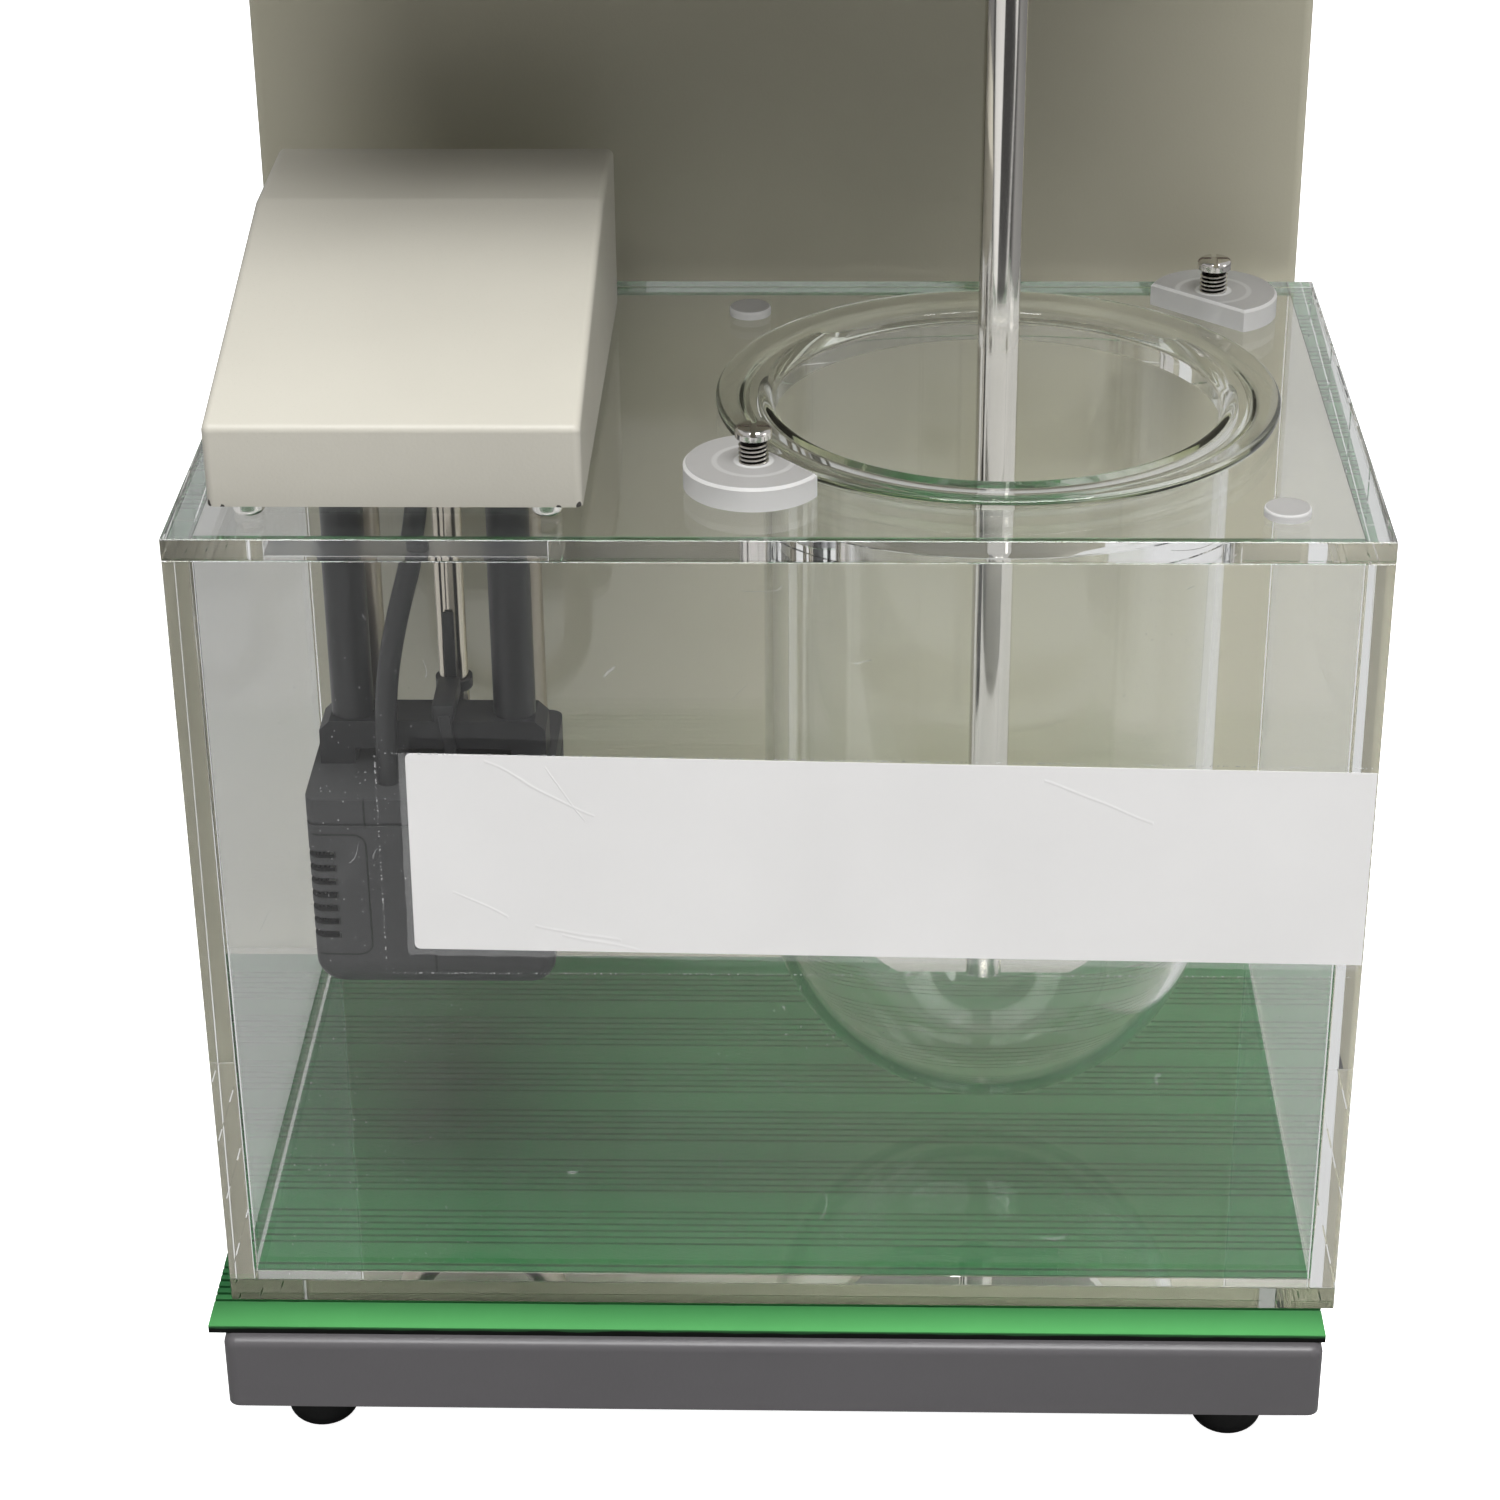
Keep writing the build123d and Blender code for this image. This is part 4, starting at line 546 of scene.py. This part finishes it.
def mat_rubber():
    made = Finish("mat_green", mat_colour, 0.62, Specular_IOR_Level=0.18)
    _, y, height = made.axes()
    sunk = 1 - height.ramp(mat_top - groove_to, mat_top - groove_from)
    cut = (made.noise(90.0, detail=4.0) - 0.5) * knife_wander
    # The black lower layer, which also gives the painted shadow under the mat's front edge.
    backing = height + cut < mat_top - green_layer
    wander = made.mottle(22.0, 0.09, detail=4.0, stretch=(0.3, 1.0, 1.0))
    # Painted shade under the bath.
    covered = y.ramp(covered_from, covered_to)
    under = made.mix(covered, wander, under_bath_shade_colour)
    top = made.mix(sunk * (0.85 - covered * 0.5), under, groove_colour)
    made.set(made.shader, {"Base Color": made.mix(backing, top, backing_and_edge_shadow_colour)})
    made.bump(made.noise(900.0), 0.03 * mm)
    return made


mat_green = mat_rubber()

# %% [markdown]
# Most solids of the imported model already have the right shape, so they only take a finish. This
# table says which, and a loop puts each finish in its node's material slots.

# %% Finishes of the solids
finishes = {
    base_coat: ["base_pan"],
    column_coat: ["column_shell", "column_back_cover", "head_shell"],
    cover_coat: ["module_cover"],
    mat_green: ["ribbed_mat"],
    rubber_black: ["rubber_feet", "lead_grommet"],
    disc_frost: ["vessel_clamp_front", "vessel_clamp_rear"],
    button_frost: ["locating_buttons"],
    polished_steel: ["paddle_shaft", "paddle_blade"],
    probe_steel: ["temperature_probe"],
    heater_steel: ["heater_tube"],
    turned_steel: ["hollow_spindle", "spindle_collar", "chuck_body", "chuck_nut",
                   "motor_output_shaft", "motor_pinion"],
    case_screw_steel: ["case_screws"],
    foot_screw_steel: ["module_foot_screws"],
    clamp_screw_steel: ["clamp_screws"],
    plate_aluminium: ["base_bottom_plate", "head_floor_plate", "module_base_plate",
                      "spindle_housing"],
    gear_brass: ["spindle_gear"],
    bush_bronze: ["spindle_bushes"],
    cast_grey: ["motor_gearbox", "power_transformer"],
    motor_paint: ["drive_motor"],
    tube_black: ["hanger_tubes"],
    pump_black: ["pump_body", "pump_intake_cover"],
    hanger_black: ["pump_hanger"],
    impeller_white: ["pump_impeller"],
    plain_black: ["probe_tie", "head_top_bush", "rocker_frames", "heat_rocker",
                  "power_rocker", "heater_socket", "mains_inlet"],
    key_grey: ["set_button", "up_button", "down_button"],
    panel_film: ["control_panel"],
    board_green: ["control_board", "relay_board"],
    window_dark: ["display_window"],
    floor_acrylic: ["bath_floor_pane"],
    acrylic: ["bath_left_pane", "bath_right_pane", "bath_front_pane",
              "bath_back_pane", "bath_lid"],
    glass: ["glass_vessel"],
}
for finish, names in finishes.items():
    for name in names:
        nodes[name].data.materials.clear()
        nodes[name].data.materials.append(finish.material)
dressed = sum(len(names) for names in finishes.values())
print("nodes with a finish", dressed, "of", len(nodes))

# %% [markdown]
# The finer pieces all end the same way: the built mesh becomes an object with a finish in its
# material slot, rides on a body, and may stand in for a solid. Smooth shading with a limit on
# the angle keeps turned faces round and edges crisp.


# %% Finish a piece
def add_piece(name, bm, body, finish, replaces=(), smooth=30.0):
    mesh = bpy.data.meshes.new(name)
    bm.to_mesh(mesh)
    bm.free()
    mesh.materials.append(finish.material)
    if smooth:
        mesh.polygons.foreach_set("use_smooth", [True] * len(mesh.polygons))
        mesh.set_sharp_from_angle(angle=math.radians(smooth))
    piece = put(name, mesh)
    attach(piece, body)
    if replaces:
        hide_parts(*replaces)
    return piece


def bevel_edges(bm, edges, offset, segments=2):
    bmesh.ops.bevel(bm, geom=list(edges), offset=offset, affect="EDGES", segments=segments,
                    profile=0.5, material=-1, clamp_overlap=True)


def round_corner(bm, corners, radius, segments):
    bmesh.ops.bevel(bm, geom=corners, offset=radius, affect="VERTICES", segments=segments,
                    profile=0.5, material=-1)


def box_between(bm, low, high):
    """A plain box between two corners, and its points."""
    made = bmesh.ops.create_cube(bm, size=1.0)["verts"]
    bmesh.ops.scale(bm, vec=high - low, verts=made)
    bmesh.ops.translate(bm, vec=(low + high) / 2, verts=made)
    return made


def closed_loop(bm, places):
    """Straight edges through the places and back to the first one."""
    corners = [bm.verts.new(place) for place in places]
    return [bm.edges.new(pair) for pair in zip(corners, corners[1:] + corners[:1])]


def edges_of(verts):
    """The edges at these points, each once and always in the same order."""
    return list(dict.fromkeys(edge for vert in verts for edge in vert.link_edges))


def thicken(bm, shift):
    """Pull a copy of all faces away by that much, and close the sides."""
    grown = bmesh.ops.extrude_face_region(bm, geom=bm.faces[:])
    moved = [item for item in grown["geom"] if isinstance(item, bmesh.types.BMVert)]
    bmesh.ops.translate(bm, vec=shift, verts=moved)
    bmesh.ops.recalc_face_normals(bm, faces=bm.faces)


# %% [markdown]
# The bath's panes are sawn acrylic with hand scraped edges, glued face to face. The scraped edge
# is what catches light, and the glue line shows as a thin bright line, because a trace of air is
# left in it. So each pane is a slab with a tiny bevel, drawn in by a hair from its neighbours.

# %% Bath panes
panes = ("bath_floor_pane", "bath_left_pane", "bath_right_pane", "bath_front_pane",
         "bath_back_pane")
scraped_edge = 0.16 * mm
glue_gap = 0.015 * mm
hair = Vector((glue_gap, glue_gap, glue_gap))
for pane in panes:
    low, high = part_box(pane)
    slab = bmesh.new()
    box_between(slab, low + hair, high - hair)
    bevel_edges(slab, slab.edges, scraped_edge, 1)
    sheet = floor_acrylic if pane == "bath_floor_pane" else acrylic
    add_piece(f"{pane}_scraped", slab, "machine", sheet, [pane])
print("bath panes", len(panes))

# %% [markdown]
# The lid is a slab with a round hole for the vessel and a square one for the heater. Its outline
# and holes are drawn as closed loops, filled in one go, extruded to the lid's thickness, and the
# sharp edges are scraped like those of the panes.

# %% Bath lid
lid_low, lid_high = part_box("bath_lid")
vessel_low, vessel_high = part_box("glass_vessel")
axis_x = (vessel_low.x + vessel_high.x) / 2
axis_y = (vessel_low.y + vessel_high.y) / 2
vessel_radius = 53.5 * mm
lid_hole_radius = vessel_radius + 1.0 * mm
heater_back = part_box("heater_tube")[1].y
opening_gap = 3.0 * mm
turn_steps = 160


def rectangle(x_low, x_high, y_low, y_high, z):
    return (x_low, y_low, z), (x_high, y_low, z), (x_high, y_high, z), (x_low, y_high, z)


def round_loop(bm, radius, x, y, z):
    made = bmesh.ops.create_circle(bm, cap_ends=False, radius=radius, segments=turn_steps,
                                   matrix=Matrix.Translation((x, y, z)))
    return edges_of(made["verts"])


def lid_slab():
    bm = bmesh.new()
    z = lid_low.z + glue_gap
    edges = closed_loop(bm, rectangle(lid_low.x, lid_high.x, lid_low.y, lid_high.y, z))
    edges += round_loop(bm, lid_hole_radius, axis_x, axis_y, z)
    edges += closed_loop(bm, rectangle(intake_low.x - opening_gap, pump_high.x + opening_gap,
                                       pump_low.y - opening_gap, heater_back + opening_gap, z))
    bmesh.ops.triangle_fill(bm, use_beauty=True, use_dissolve=False, edges=edges)
    thicken(bm, (0, 0, lid_high.z - glue_gap - z))
    sharp = [edge for edge in bm.edges if edge.calc_face_angle(0.0) > 1.0]
    bevel_edges(bm, sharp, scraped_edge, 1)
    return bm


add_piece("bath_lid_scraped", lid_slab(), "machine", acrylic, ["bath_lid"])

# %% [markdown]
# The glass vessel is blown, so it is one turned form: a hemisphere, a straight wall and a flange
# with a soft rim. Its outline starts as two points under the middle, which are spun to quarter
# arcs, and goes on as short straight runs whose corners are rounded. Then one full spin makes it.

# %% Glass vessel
wall = 2.6 * mm
inner_radius = vessel_radius - wall
flange_radius = (vessel_high.x - vessel_low.x) / 2
flange_thickness = 4.2 * mm
rim_thickness = 2.5 * mm
seat_radius = vessel_radius + 3.0 * mm
step_width = 2.0 * mm
sphere_z = vessel_low.z + vessel_radius
arc_steps = 28
weld = 0.002 * mm


def quarter_arc(bm, radius):
    """Spin a point from under the middle out to the side, and return its end."""
    start = bm.verts.new((0, 0, sphere_z - radius))
    made = bmesh.ops.spin(bm, geom=[start], cent=(0, 0, sphere_z), axis=(0, -1, 0),
                          dvec=(0, 0, 0), angle=math.pi / 2, steps=arc_steps)
    return [item for item in made["geom_last"] if isinstance(item, bmesh.types.BMVert)][0]


def run(bm, start, *places):
    """Straight runs from a point through the given places, and the new points."""
    made = []
    for x, z in places:
        nxt = bm.verts.new((x, 0, z))
        bm.edges.new((start, nxt))
        made.append(nxt)
        start = nxt
    return made


def turn_whole(bm, steps, x, y):
    """Spin the whole outline once round Z, weld it, and move its axis to a place."""
    bmesh.ops.spin(bm, geom=bm.verts[:] + bm.edges[:], cent=(0, 0, 0), axis=(0, 0, 1),
                   dvec=(0, 0, 0), angle=2 * math.pi, steps=steps, use_merge=True)
    bmesh.ops.remove_doubles(bm, verts=bm.verts, dist=weld)
    bmesh.ops.recalc_face_normals(bm, faces=bm.faces)
    bmesh.ops.translate(bm, vec=(x, y, 0), verts=bm.verts)


def vessel_form():
    bm = bmesh.new()
    lip_z = vessel_high.z - flange_thickness
    rim_z = vessel_high.z - rim_thickness
    outer_end = quarter_arc(bm, vessel_radius)
    inner_end = quarter_arc(bm, inner_radius)
    lip, _, step, rim_low, rim_high = run(
        bm, outer_end, (vessel_radius, lip_z), (seat_radius, lip_z),
        (seat_radius + step_width, rim_z), (flange_radius, rim_z),
        (flange_radius, vessel_high.z))
    throat = run(bm, inner_end, (inner_radius, vessel_high.z))[0]
    bm.edges.new((rim_high, throat))
    for corner, radius, segments in ((step, 1.0, 6), (rim_low, 0.9, 6), (rim_high, 1.1, 6),
                                     (throat, 3.2, 8), (lip, 0.9, 4)):
        round_corner(bm, [corner], radius * mm, segments)
    turn_whole(bm, turn_steps, axis_x, axis_y)
    return bm


vessel = add_piece("blown_vessel", vessel_form(), "vessel", glass,
                   ["glass_vessel"], smooth=40.0)
print("vessel faces", len(vessel.data.polygons))

# %% [markdown]
# Each clamp screw stands proud of its disc, and its rolled thread shows there. A thread is one
# saw toothed line, turned once round the screw while it climbs by one pitch: the end of each
# tooth then meets the start of the next one. The shank behind it is the root, painted as shade.

# %% Screw threads
thread_pitch = 1.0 * mm
root_radius = 2.9 * mm
crest_radius = 3.29 * mm
tooth = [(root_radius, 0.0), (crest_radius, 0.24), (crest_radius, 0.34), (root_radius, 0.58)]
coil_steps = 48
coil_weld = 0.01 * mm


def thread_coil(middle):
    bm = bmesh.new()
    foot = disc_top - 2 * thread_pitch
    teeth = int((screw_head_foot - foot) / thread_pitch) - 1
    places = [(radius, foot + (turn + share) * thread_pitch)
              for turn in range(teeth) for radius, share in tooth]
    start = bm.verts.new((places[0][0], 0, places[0][1]))
    run(bm, start, *places[1:], (root_radius, foot + teeth * thread_pitch))
    bmesh.ops.spin(bm, geom=bm.edges[:] + bm.verts[:], cent=(0, 0, 0), axis=(0, 0, 1),
                   dvec=(0, 0, thread_pitch / coil_steps), angle=2 * math.pi,
                   steps=coil_steps)
    bmesh.ops.remove_doubles(bm, verts=bm.verts, dist=coil_weld)
    bmesh.ops.recalc_face_normals(bm, faces=bm.faces)
    bmesh.ops.translate(bm, vec=middle, verts=bm.verts)
    return bm


for side, middle in zip(("front", "rear"), screw_places):
    coil = add_piece(f"{side}_screw_thread", thread_coil(middle), "machine", thread_steel,
                     smooth=20.0)
print("thread faces", len(coil.data.polygons))

# %% [markdown]
# A notice is taped to the front pane. It is left blank here. It is a strip of white paper that
# was stuck on by hand, so it leans a little, and clear tape covers it and stands past its edge.
# A few creases run over it, where the tape was pressed down: each is a low ridge along a line.
# Corners and creases are given by X and Z in mm, and a crease goes down from left to right.

# %% Notice
notice_corners = [(-78.8, 184.3), (131.7, 180.4), (131.7, 132.0), (-79.2, 134.9)]
creases = [
    (-61.6, 182.7, -38.0, 169.5), (-48.4, 181.8, -40.0, 168.0), (-52.0, 141.5, -33.0, 136.5),
    (-46.0, 139.0, -28.0, 133.5), (-70.0, 150.0, -58.0, 143.0), (60.0, 178.0, 84.0, 168.0),
]
paper_gap = 0.03 * mm
paper_thickness = 0.12 * mm
paper_corner = 1.3 * mm
crease_width = 0.5 * mm
crease_wander = 5.0 * mm
crease_height = 0.06 * mm


def notice_sheet():
    """A thin sheet in front of the front pane. Its two left corners are round."""
    bm = bmesh.new()
    verts = [bm.verts.new((x * mm, pane_low.y - paper_gap, z * mm)) for x, z in notice_corners]
    bm.faces.new(verts)
    round_corner(bm, [verts[0], verts[3]], paper_corner, 4)
    thicken(bm, (0, -paper_thickness, 0))
    return bm


def paper_finish():
    made = Finish("notice_paper", (0.86, 0.85, 0.84), 0.6, Coat_Weight=0.35,
                  Coat_Roughness=0.12)
    x, _, z = made.axes()
    wobble = (made.noise(45.0, detail=1.0) - 0.5) * crease_wander
    folds = []
    for left, high, right_end, low in creases:
        steep = (low - high) / (right_end - left)
        off = abs(z + wobble - high * mm - (x - left * mm) * steep)
        within = (x > left * mm) * (x < right_end * mm)
        folds.append((1 - off.ramp(0.0, crease_width)) * within)
    fibre = made.noise(700.0, detail=4.0)
    made.set(made.shader, {"Base Color": made.mottle(26.0, 0.02)})
    made.bump(any_of(folds) + fibre * 0.1, crease_height)
    return made


add_piece("blank_notice", notice_sheet(), "machine", paper_finish(),
          smooth=0)

# %% [markdown]
# Clear tape holds the notice. Of the tape itself only its edges show, as fine white dotted lines,
# and the grey band beside the paper, where the tape comes down from it to the pane. The pane has
# dust and a few short scratches too. All of that is one film in front of the pane: it is see
# through, and only where a mark is, its alpha lets some white through. A mark along a slanted
# line is a narrow band of the distance to that line, and a scratch is a contour line of a cloud.

# %% Marks on the front pane
pane_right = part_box("bath_right_pane")[1].x
lid_top = lid_high.z
tape_left = ((-85.4, 184.0), (-85.8, 128.6))
tape_foot = ((-85.4, 128.6), (132.0, 128.9))
tape_top = ((-85.4, 184.4), (132.0, 181.6))
tape_hair = 0.16 * mm
band_width = 1.1 * mm
clean_ends = 8.0 * mm


def right_of(x, z, upper, lower):
    """How far the place is to the right of a steep line. Its two points are in mm."""
    slope = (lower[0] - upper[0]) / (lower[1] - upper[1])
    return x - (z - upper[1] * mm) * slope - upper[0] * mm


def above(x, z, left, far):
    """How far the place is above a nearly level line. Its two points are in mm."""
    slope = (far[1] - left[1]) / (far[0] - left[0])
    return z - (x - left[0] * mm) * slope - left[1] * mm


def tape_marks(made, x, z, beside, below, over):
    """The tape's dotted edges, and the grey band beside and below the paper."""
    dots = made.noise(1500.0, detail=1.0).ramp(0.5, 0.62)
    lines = [abs(right_of(x, z, *tape_left)) < tape_hair,
             abs(above(x, z, *tape_foot)) < tape_hair,
             abs(above(x, z, *tape_top)) < tape_hair]
    inside = (z > 128.4 * mm) * (z < 184.5 * mm) * (x > -86.0 * mm)
    cloud = made.noise(220.0) * 0.8 * mm
    band = ((beside + band_width + cloud > 0) * (beside < 0) * (below + band_width > 0)
            | (below + band_width + cloud > 0) * (below < 0) * (beside + band_width > 0))
    return any_of(lines) * inside * dots * 0.45 | band * inside * (over < 0) * 0.16


def wear_marks(made, x, clear_of_paper):
    """Specks of dust in a few dusty areas, and short thin scratches."""
    speck = made.noise(1500.0, detail=0.0) > 0.81
    dusty = made.noise(14.0).ramp(0.47, 0.62)
    contour = abs(made.noise(60.0, detail=0.0, distortion=0.4) - 0.5) < 0.003
    short = made.noise(110.0, detail=0.0) > 0.72
    where = clear_of_paper * (x > pane_low.x + clean_ends) * (x < pane_right - clean_ends)
    return speck * dusty * where * 0.4 | contour * short * where * 0.22


def pane_marks():
    made = Finish("pane_marks", (0.80, 0.80, 0.80), 0.6)
    x, _, z = made.axes()
    beside = right_of(x, z, notice_corners[0], notice_corners[3])
    below = above(x, z, notice_corners[3], notice_corners[2])
    over = above(x, z, notice_corners[0], notice_corners[1])
    clear_of_paper = 1 - (beside > 0) * (over < 0) * (below > 0)
    made.set(made.shader, {"Alpha": tape_marks(made, x, z, beside, below, over)
                           | wear_marks(made, x, clear_of_paper)})
    return made


film_inset = 1.0 * mm
film_gap = 0.25 * mm
film_left, film_right = pane_low.x + film_inset, pane_right - film_inset
film_foot, film_head = pane_low.z + film_inset, lid_top - film_inset
film_corners = [(film_left, film_head), (film_right, film_head), (film_right, film_foot),
                (film_left, film_foot)]
film = bmesh.new()
film.faces.new([film.verts.new((x, pane_low.y - film_gap, z)) for x, z in film_corners])
add_piece("front_pane_marks", film, "machine", pane_marks(), smooth=0)

# %% [markdown]
# The pump's lead is a soft black cable. It comes out of the plate under the cover, hangs a
# little slack, and goes into the top of the pump. A NURBS curve through a few given points
# gives it the even bends of a real cable.

# %% Pump lead
lead_diameter = 5.0 * mm
lead_route = [
    (-76.8, -87.0, 238.7),
    (-76.8, -87.0, 224.0),
    (-84.6, -87.3, 197.0),
    (-87.4, -87.0, 177.0),
    (-87.4, -87.0, 160.5),
]


def add_lead():
    curve = bpy.data.curves.new("pump_cable", "CURVE")
    curve.dimensions = "3D"
    curve.bevel_depth = lead_diameter / 2
    curve.bevel_resolution = 6
    curve.resolution_u = 24
    spline = curve.splines.new("NURBS")
    spline.points.add(len(lead_route) - 1)
    for point, place in zip(spline.points, lead_route):
        point.co = (*(value * mm for value in place), 1.0)
    spline.order_u = 3
    spline.use_endpoint_u = True
    curve.materials.append(lead_black.material)
    piece = put("pump_cable", curve)
    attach(piece, "heater_module")
    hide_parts("pump_lead")


add_lead()

# %% [markdown]
# A black cable tie holds the probe to the yoke. Its band goes round the probe, its head sits in
# front on the yoke's bar, one end of it stands up along the probe, and the other hangs down over
# the bar. The solid in the model is a plain ring with blocks, so this finer one replaces it: the
# band is a turned ring, and the rest are slabs with rounded edges. The hanging end leans a little.

# %% Cable tie
tie_low, tie_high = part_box("probe_tie")
probe_low, probe_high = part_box("temperature_probe")
bar_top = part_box("pump_hanger")[1].z
probe_x = (probe_low.x + probe_high.x) / 2
probe_y = (probe_low.y + probe_high.y) / 2
probe_radius = (probe_high.x - probe_low.x) / 2
probe_front = probe_y - probe_radius
band_foot = tie_low.z + 9.0 * mm
band_height = 2.6 * mm
band_steps = 40
strap = 0.9 * mm
head_left = probe_x - 3.3 * mm
head_width = 5.2 * mm
hanging_lean = -0.12


def tie_part(bm, low, high, edge, angle=0.0):
    """A rounded slab that leans sideways about the middle of its top."""
    low, high = Vector(low), Vector(high)
    made = box_between(bm, low, high)
    pivot = ((low.x + high.x) / 2, (low.y + high.y) / 2, high.z)
    bmesh.ops.rotate(bm, cent=pivot, matrix=Matrix.Rotation(angle, 3, "Y"), verts=made)
    bevel_edges(bm, edges_of(made), edge)


def tie_form():
    bm = bmesh.new()
    inner, outer = probe_radius + 0.05 * mm, probe_radius + strap
    closed_loop(bm, [(inner, 0, band_foot), (outer, 0, band_foot),
                     (outer, 0, band_foot + band_height), (inner, 0, band_foot + band_height)])
    turn_whole(bm, band_steps, probe_x, probe_y)
    tie_part(bm, (head_left, tie_low.y + 0.6 * mm, bar_top + 0.3 * mm),
             (head_left + head_width, probe_front - 0.3 * mm, bar_top + 4.6 * mm), 0.7 * mm)
    tie_part(bm, (probe_x - 1.5 * mm, probe_front - 1.1 * mm, bar_top + 1.0 * mm),
             (probe_x + 1.1 * mm, probe_front - 0.1 * mm, bar_top + 21.0 * mm), 0.3 * mm)
    tie_part(bm, (probe_x - 1.9 * mm, tie_low.y, tie_low.z),
             (probe_x + 0.9 * mm, tie_low.y + strap, bar_top + 2.0 * mm), 0.25 * mm,
             hanging_lean)
    return bm


add_piece("cable_tie", tie_form(), "heater_module", plain_black, ["probe_tie"])
print("tie", [round(value / mm, 1) for value in (*tie_low, *tie_high)])

# %% [markdown]
# A white table carries the machine. The camera sees it and the room behind it as plain white,
# with the machine's soft shadow. Metal and glass see more of the room: to them the table is
# dimmer near the machine, it ends a short way in front of it, and past its edge somebody's dark
# shape stands to the right of the camera. That gives the polished shaft its black streak. Seen
# through the panes, the wall behind is a light grey.

# %% Table and room
floor_size = 6.0
table_front = -0.68
shape_left = -0.16
shape_right = 0.90
shape_dark = 0.93
grey_wall = 0.70
table_white = 0.93
bounce = 0.8
table_dim_end = -0.62
table_dim_from = -0.50
table_dim_to = -0.30
dim_near = 0.52
dim_extra = 0.22
room_fill = 0.08
room_mirrored = 0.5


def table_finish():
    made = Finish("table_white", (table_white, table_white, table_white), 0.9,
                  Specular_IOR_Level=0.0)
    x, y, _ = made.axes()
    seen, through, mirrored = (made.ray(kind) for kind in ("Camera", "Transmission", "Glossy"))
    dark = (y < table_front) * (x > shape_left) * (x < shape_right)
    dim = dim_near + (1 - y.ramp(table_dim_from, table_dim_to)) * dim_extra
    white = bounce - mirrored * dim * (y > table_dim_end)
    other = (1 - seen - through) * (1 - dark * shape_dark) * white
    made.set(made.shader, {"Base Color": seen * table_white + other})
    glow = made.node("ShaderNodeEmission", {}, {
        "Color": (1, 1, 1, 1), "Strength": seen + through * grey_wall})
    body = Signal(made, made.shader.outputs["BSDF"])
    both = made.node("ShaderNodeAddShader", {}, {0: body, 1: glow})
    made.set(made.output, {"Surface": both})
    return made


def add_table():
    bm = bmesh.new()
    bmesh.ops.create_grid(bm, x_segments=1, y_segments=1, size=floor_size)
    mesh = bpy.data.meshes.new("white_table")
    bm.to_mesh(mesh)
    bm.free()
    mesh.materials.append(table_finish().material)
    put("white_table", mesh)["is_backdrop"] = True


def white_room():
    """A world that is white to the camera, and dimmer as a source of light."""
    world = bpy.data.worlds.new("white_room")
    world.use_nodes = True
    room = Graph(world.node_tree)
    seen, through, mirrored = (room.ray(kind) for kind in ("Camera", "Transmission", "Glossy"))
    other = mirrored * room_mirrored + (1 - mirrored) * room_fill
    lit = through * grey_wall + (1 - through) * other
    room.set(world.node_tree.nodes["Background"],
             {"Color": (1, 1, 1, 1), "Strength": seen + (1 - seen) * lit})
    return world


add_table()
scene.world = white_room()

# %% [markdown]
# The light comes from two soft lamps, one nearly overhead and one above and in front, so tops
# are brighter than fronts, and the drive head shades the column and the back of the heater's
# cover. A smaller one at the right fills that side a little, and one behind lights the back.
# The lamps themselves stay out of the picture, also where it looks through glass or acrylic.


# %% Lamps
def soft_lamp(name, place, target, size, power):
    data = bpy.data.lights.new(name, "AREA")
    data.shape = "RECTANGLE"
    data.size, data.size_y = size
    data.energy = power
    lamp = put(name, data)
    lamp.location = place
    lamp.rotation_euler = (Vector(target) - Vector(place)).to_track_quat("-Z", "Y").to_euler()
    lamp.visible_camera = False
    lamp.visible_transmission = False


machine_middle = (0.0, -0.05, 0.2)
column_back = (0.0, 0.13, 0.3)
soft_lamp("ceiling_lamp", (0.135, -0.39, 2.09), machine_middle, (1.35, 0.54), 13.5)
soft_lamp("front_lamp", (0.162, -0.874, 1.82), machine_middle, (1.485, 0.52), 33.5)
soft_lamp("right_lamp", (1.5, -0.5, 0.7), machine_middle, (0.6, 0.8), 2.4)
soft_lamp("rear_lamp", (0.0, 1.7, 0.9), column_back, (0.5, 0.8), 9.0)

# %% [markdown]
# Colours are shown as they are, without a film look. Light crosses many clear walls here, and
# turns again and again inside their edges, so it may turn more often than usual.

# %% Colour and light paths
light_turns = 40
see_through_turns = 32
scene.view_settings.view_transform = "Standard"
scene.cycles.max_bounces = light_turns
scene.cycles.transmission_bounces = light_turns
scene.cycles.glossy_bounces = light_turns
scene.cycles.transparent_max_bounces = see_through_turns

# %% [markdown]
# The finer pieces keep within the box of the solids. The box of all that is shown is printed.

# %% Box of what is shown
low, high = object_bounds()
print("visual box", [round(side, 4) for corner in (low, high) for side in corner])
